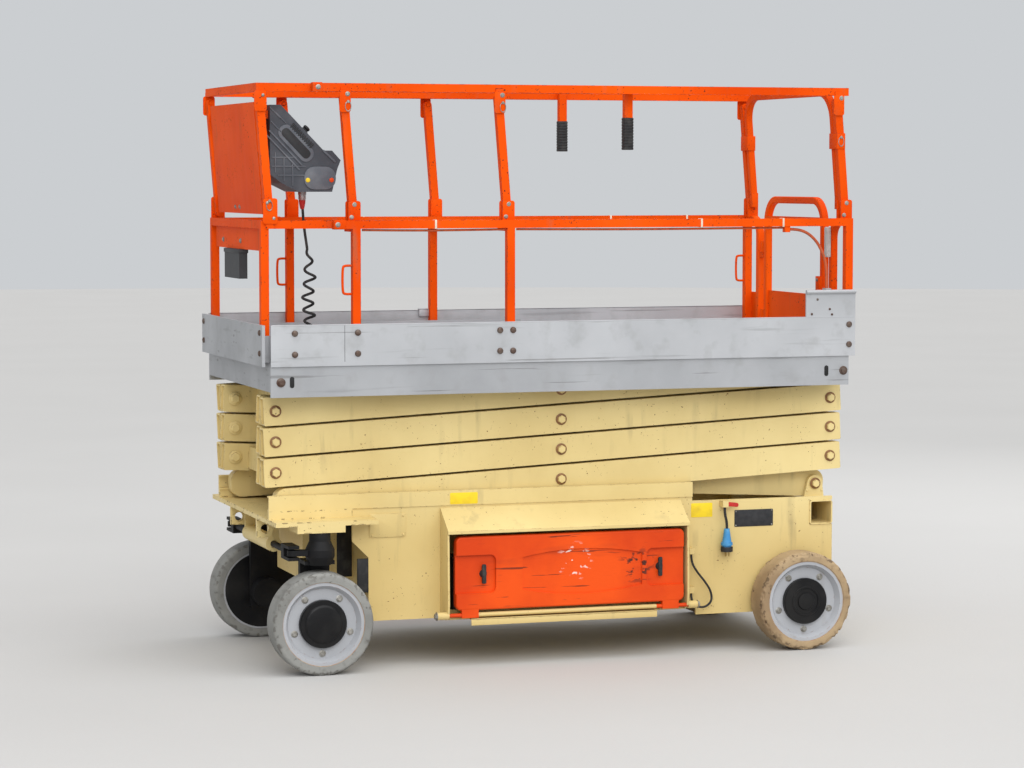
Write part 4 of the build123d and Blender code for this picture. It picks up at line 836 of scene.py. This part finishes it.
for side, sign in both_sides:
    row(clevis_plate(0.050, 0.086, 0.0094), [(x, sign * 0.5115, clevis_z) for x in post_x], side,
        f"{side}_post_clevises", orange_paint, "platform")
    row(clevis_plate(0.050, 0.086, 0.006), [(x, sign * 0.4785, clevis_z) for x in post_x], other_side[side],
        f"{side}_post_cheeks", orange_paint, "platform")
    spots = [(x + shift, sign * 0.5209, z) for x in post_x for shift, z in ((0.012, 1.788), (0.0, 1.838))]
    row(hex_bolt(0.0062), spots, side, f"{side}_clevis_bolts", plated_steel, "platform")
    row(clevis_plate(0.046, 0.086, 0.0045), [(x + post_lean, sign * 0.5151, hanger_z) for x in post_x], side,
        f"{side}_top_hangers", orange_paint, "top_rail_pair")
    spots = [(x + post_lean - 0.010, sign * 0.5196, 2.268) for x in post_x]
    row(hex_bolt(0.0065), spots, side, f"{side}_hanger_bolts", plated_steel, "top_rail_pair")
    pins = joined([ring_pin((x + post_lean - 0.012, sign * 0.5205, 2.238), facing[side]) for x in post_x[:2]])
    fitted(pins, f"{side}_hanger_pins", plated_steel, "top_rail_pair")
    collar = bar((0.996, 1.036), across(sign, 0.4765, 0.5135), (2.2755, 2.3125), 0.003)
    fitted(collar, f"{side}_top_rail_collar", orange_paint, "top_rail_pair")
    row(hex_bolt(0.007), [(1.014, sign * 0.5135, 2.294)], side, f"{side}_top_collar_bolt", plated_steel,
        "top_rail_pair")
    collar = bar((0.915, 0.964), across(sign, 0.5175, 0.5545), (1.7415, 1.7785), 0.003)
    fitted(collar, f"{side}_mid_rail_collar", orange_paint, "platform")
    row(hex_bolt(0.007), [(0.948, sign * 0.5545, 1.760)], side, f"{side}_mid_collar_bolt", plated_steel,
        "platform")
    bands = [bar((x - 0.004, x + 0.004), across(sign, 0.5185, 0.5538), (1.7422, 1.7778), 0.001)
             for x in (0.550, -0.572, -0.930)]
    fitted(joined(bands), f"{side}_rail_bands", pale_band, "platform")
    runs = []
    for start, stop in ((0.846, 0.262), (0.212, -0.935)):
        third = (stop - start) / 3
        y = sign * rail_y
        route = [(start, y, 1.7385), (start + third, y, 1.7355), (stop - third, y, 1.7360), (stop, y, 1.7385)]
        runs.append(tube_mesh(cord_piece(f"{side}_rail_wire", route, 0.009, brown_jacket)))
    fitted(joined(runs), f"{side}_rail_wires", brown_jacket, "platform")
for side, sign, end, x, z in (("left", 1, "front", 0.888, 1.545), ("right", -1, "front", 0.888, 1.545),
                              ("right", -1, "rear", -1.209, 1.540)):
    loop = f"{side}_{end}_grab_loop"
    fitted(grab_loop(loop, x, sign, z), loop, orange_paint, "platform")

# Platform cable
# The control cable in its brown jacket, out of a clip under the left mid-rail and down in one easy bend to the
# boss on the cable cover.
cable_diameter = 0.012
cable_route = [(-0.962, 0.536, 1.732), (-1.002, 0.536, 1.732), (-1.050, 0.536, 1.714), (-1.090, 0.536, 1.676),
               (-1.116, 0.536, 1.626), (-1.127, 0.536, 1.584), (-1.130, 0.536, 1.535), (-1.130, 0.536, 1.489)]
platform_cable = cord_piece("platform_cable_cord", cable_route, cable_diameter, brown_jacket)
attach(platform_cable, "platform")
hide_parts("platform_cable")

# Entry gate and arch
# Bent square tube: the swinging gate with its kick plate, fixed jambs beside it, and the arch that folds with
# the rear posts and is held to them by sleeves with locking pins.
for side, sign in both_sides:
    foot = bar((-1.2368, -1.2062), across(sign, 0.4398, 0.4702), (1.812, 1.874), 0.002)
    fitted(foot, f"{side}_arch_foot", orange_paint, "rear_posts")
    sleeve = bar((-1.2205, -1.1815), across(sign, 0.436, 0.5145), (2.060, 2.125), 0.003)
    fitted(sleeve, f"{side}_arch_sleeve", orange_paint, "rear_posts")
    fitted(ring_pin((-1.201, sign * 0.5150, 2.108), facing[side]), f"{side}_arch_pin", plated_steel,
           "rear_posts")
holder = bar((-1.2100, -1.1880), (0.376, 0.404), (1.612, 1.738), 0.006)
fitted(holder, "jamb_holder", grey_box, "platform")
latch = bar((-1.2105, -1.1930), (0.281, 0.319), (1.470, 1.530), 0.002)
fitted(latch, "gate_latch", orange_paint, "gate")
row(round_head(0.0075), [(-1.1930, 0.300, 1.515)], "front", "gate_latch_pin", plated_steel, "gate")

# Sliding deck extension
# The orange front frame of the sliding deck: folding posts in their clevis plates, the tall front panel, the
# top rail, and two push handles with moulded black grips for sliding it in and out.
hinge_x = 1.196
handle_x = -0.305
for side, sign in both_sides:
    row(clevis_plate(0.058, 0.100, 0.0045), [(hinge_x, sign * 0.4621, 1.813)], side, f"{side}_extension_clevis",
        orange_paint, "extension")
    spots = [(hinge_x - 0.014, sign * 0.4666, 1.785), (hinge_x + 0.012, sign * 0.4666, 1.845)]
    row(round_head(0.0065), spots, side, f"{side}_extension_clevis_bolts", plated_steel, "extension")
    fitted(ring_pin((hinge_x + 0.004, sign * 0.4690, 1.852), facing[side]), f"{side}_extension_pin",
           plated_steel, "extension")
    row(clevis_plate(0.050, 0.080, 0.0035), [(hinge_x + post_lean, sign * 0.4601, hanger_z)], side,
        f"{side}_extension_hanger", orange_paint, "extension_top")
    row(round_head(0.0065), [(hinge_x + post_lean - 0.010, sign * 0.4636, 2.262)], side,
        f"{side}_extension_hanger_bolt", plated_steel, "extension_top")
    rings = [bar((handle_x - 0.0205, handle_x + 0.0205), across(sign, 0.3875, 0.4225), (z, z + 0.0112), 0.003)
             for z in [2.0545 + 0.0118 * number for number in range(11)]]
    core = bar((handle_x - 0.0190, handle_x + 0.0190), across(sign, 0.3890, 0.4210), (2.0560, 2.1850), 0.003)
    fitted(joined([core, *rings]), f"{side}_push_grip", black_rubber, "extension_top")
wing_places = [(1.2085, y, 1.826) for y in (-0.070, 0.005)]
row(hex_bolt(0.0075), wing_places, "front", "panel_bolts", plated_steel, "extension_upper")
row(hex_bolt(0.0075), [(1.220, y, 1.690) for y in (-0.250, 0.060)], "front", "lower_panel_bolts", plated_steel,
    "extension")

# Control box and manual box
# Moulded slate plastic cases: the ribbed control box hung on the folding front frame, with its stick, switches
# and a long grip slot in each side, and the box for papers under the front plate.
box_front = 1.176
box_top = 2.227
slope_turn = 46.0
slope_back = 0.695
slope_drop = 0.719
connector_place = (1.024, 0.290, 1.888)


def moulded_plastic(name, colour, shade):
    """Injection-moulded plastic: a fine leathery texture, dusty in places, shiny where hands rub it."""
    return cloudy(name, colour, shade, (14.0, 5.0), (0.45, 0.25), (240.0, 3.0), (0.42, 0.3))


def side_rib(sign, back, drop, length, height, thickness, angle):
    """A rounded rib on one side of the box, set back and down from its front top corner, falling rearwards."""
    rib = sheet_plate(length, height, thickness, 0.45 * min(length, height))
    y = 0.384 if sign > 0 else 0.150
    turn = (90, angle, 180) if sign > 0 else (90, angle, 0)
    return set_at(rib, (box_front - back, y, box_top - drop), turn)


slate_plastic = moulded_plastic("slate_plastic", (54, 58, 66), (74, 78, 85))
dark_moulding = moulded_plastic("dark_moulding", (22, 23, 26), (36, 38, 41))
rib_plastic = moulded_plastic("rib_plastic", (82, 87, 95), (104, 108, 114))
silver_collar = plain_metal("silver_collar", (190, 190, 190), (160, 160, 160), 0.9)
repaint("control_box", slate_plastic)
dark_slate = moulded_plastic("dark_slate", (38, 40, 44), (52, 54, 58))
repaint("manual_box", dark_slate)
for side, sign in both_sides:
    ribs = [side_rib(sign, 0.104, 0.150, 0.176, 0.062, 0.004, slope_turn)]
    for back, drop, length in ((0.062, 0.168, 0.190), (0.048, 0.182, 0.200)):
        ribs.append(side_rib(sign, back, drop, length, 0.006, 0.005, slope_turn))
    for drop, back, length in ((0.205, 0.055, 0.098), (0.240, 0.075, 0.138), (0.275, 0.105, 0.150)):
        ribs.append(side_rib(sign, back, drop, length, 0.004, 0.004, 0.0))
    for back, drop, length in ((0.020, 0.225, 0.080), (0.055, 0.250, 0.096), (0.090, 0.272, 0.090)):
        ribs.append(side_rib(sign, back, drop, length, 0.004, 0.004, 90.0))
    for back, drop in ((0.020, 0.030), (0.045, 0.052), (0.024, 0.085)):
        ribs.append(side_rib(sign, back, drop, 0.060, 0.004, 0.004, slope_turn))
    ribs.append(side_rib(sign, 0.200, 0.286, 0.128, 0.090, 0.006, 0.0))
    ribs.append(side_rib(sign, 0.238, 0.200, 0.070, 0.008, 0.005, 43.0))
    fitted(joined(ribs), f"control_box_{side}_ribs", rib_plastic, "extension_upper")
    slot = side_rib(sign, 0.104, 0.150, 0.150, 0.036, 0.006, slope_turn)
    fitted(slot, f"control_box_{side}_slot", dark_moulding, "extension_upper")
    teeth = []
    for number in range(11):
        slide = 0.011 * (number - 5)
        teeth.append(side_rib(sign, 0.128 + slope_back * slide, 0.120 + slope_drop * slide, 0.022, 0.006, 0.007,
                              slope_turn - 90))
    fitted(joined(teeth), f"control_box_{side}_grip", dark_moulding, "extension_upper")
    edge = 0.390 if sign > 0 else 0.144
    for name, back, drop, finish in (("amber", 0.150, 0.294, yellow_plate),
                                     ("orange", 0.246, 0.294, orange_moulding)):
        boss = set_at(turned([(0.009, 0), (0.009, 0.002), (0.006, 0.004)], 18),
                      (box_front - back, edge, box_top - drop), facing[side])
        fitted(boss, f"control_box_{side}_{name}_boss", finish, "extension_upper")
panel_turn = (0, -slope_turn, 0)
panel_middle = (box_front - 0.130, box_top - 0.089)
stick_place = (panel_middle[0] - 0.020, 0.290, panel_middle[1] - 0.021)
boot = set_at(turned([(0.030, 0), (0.028, 0.005), (0.021, 0.011), (0.022, 0.014), (0.014, 0.020),
                      (0.010, 0.025)], 28), stick_place, panel_turn)
thumb_pad = set_at(turned([(0.013, 0.024), (0.015, 0.028), (0.014, 0.034), (0.008, 0.036)], 24), stick_place,
                   panel_turn)
fitted(joined([boot, thumb_pad]), "control_stick", dark_moulding, "extension_upper")
stop_button = set_at(turned([(0.012, 0), (0.012, 0.010), (0.019, 0.012), (0.020, 0.018), (0.015, 0.023),
                             (0.006, 0.025)], 28), (panel_middle[0] + 0.040, 0.205, panel_middle[1] + 0.041),
                     panel_turn)
fitted(stop_button, "stop_button", red_plastic, "extension_upper")
keys = []
for step in (0.0, 0.030, 0.060):
    keys.append(set_at(turned([(0.009, 0), (0.009, 0.004), (0.006, 0.008)], 18),
                       (panel_middle[0] + 0.045 - slope_back * step, 0.262 + 0.03 * step,
                        panel_middle[1] + 0.0465 - slope_drop * step), panel_turn))
fitted(joined(keys), "control_keys", silver_collar, "extension_upper")
connector = set_at(turned([(0.0165, 0), (0.0165, 0.012), (0.0150, 0.014), (0.0150, 0.030), (0.0120, 0.036)],
                          28), connector_place, facing["down"])
fitted(connector, "curly_connector", silver_collar, "extension_upper")
connector_boot = set_at(turned([(0.0135, 0.034), (0.0125, 0.046), (0.0085, 0.066), (0.0060, 0.070)], 24),
                        connector_place, facing["down"])
fitted(connector_boot, "curly_connector_boot", red_plastic, "extension_upper")
lid = bar((1.1955, 1.2365), (-0.184, 0.087), (1.640, 1.656), 0.003)
fitted(lid, "manual_box_rim", dark_slate, "extension")

# Curly control cord
# A coiled black cord that plugs into the control box and springs down to a socket on the sliding deck. It is a
# rubber cord wound on a mandrel and set by heat, and its upper stretch is pulled straight by the weight below.
curly_diameter = 0.011
curly_swing = 0.021
curly_turns = 6
curly_route = [(1.024, 0.290, 1.887), (1.024, 0.290, 1.787), (0.994, 0.284, 1.607), (1.000, 0.290, 1.430),
               (1.000, 0.290, 1.300)]
curl_top = 1.66
curl_foot = 1.33


def curl_points(route):
    """Points on a helix round the smooth line of the route, straight above the coil and below it."""
    line = cord_line("curl_guide", route)
    guide = bpy.data.objects.new("curl_guide", line)
    track = bpy.data.meshes.new_from_object(guide)
    path = [vertex.co.copy() for vertex in track.vertices]
    bpy.data.objects.remove(guide)
    bpy.data.meshes.remove(track)
    points = []
    for first, second in zip(path, path[1:]):
        steps = 4
        for step in range(steps):
            spot = first.lerp(second, step / steps)
            down = (curl_top - spot.z) / (curl_top - curl_foot)
            inside = min(max(down, 0.0), 1.0)
            swell = min(inside * 5, 1.0) * min((1.0 - inside) * 8, 1.0)
            turn = 2 * pi * curly_turns * inside ** 1.3
            swing = curly_swing * swell * (1.0 + 0.22 * sin(2.3 * turn / pi + 0.6))
            points.append((spot.x + swing * cos(turn), spot.y + swing * sin(turn), spot.z))
    points.append(tuple(path[-1]))
    return points


curly_points = curl_points(curly_route)
curly_cord = tube_mesh(cord_piece("curly_control_cord", curly_points, curly_diameter, black_rubber))
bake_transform(curly_cord)
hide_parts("curly_cord")
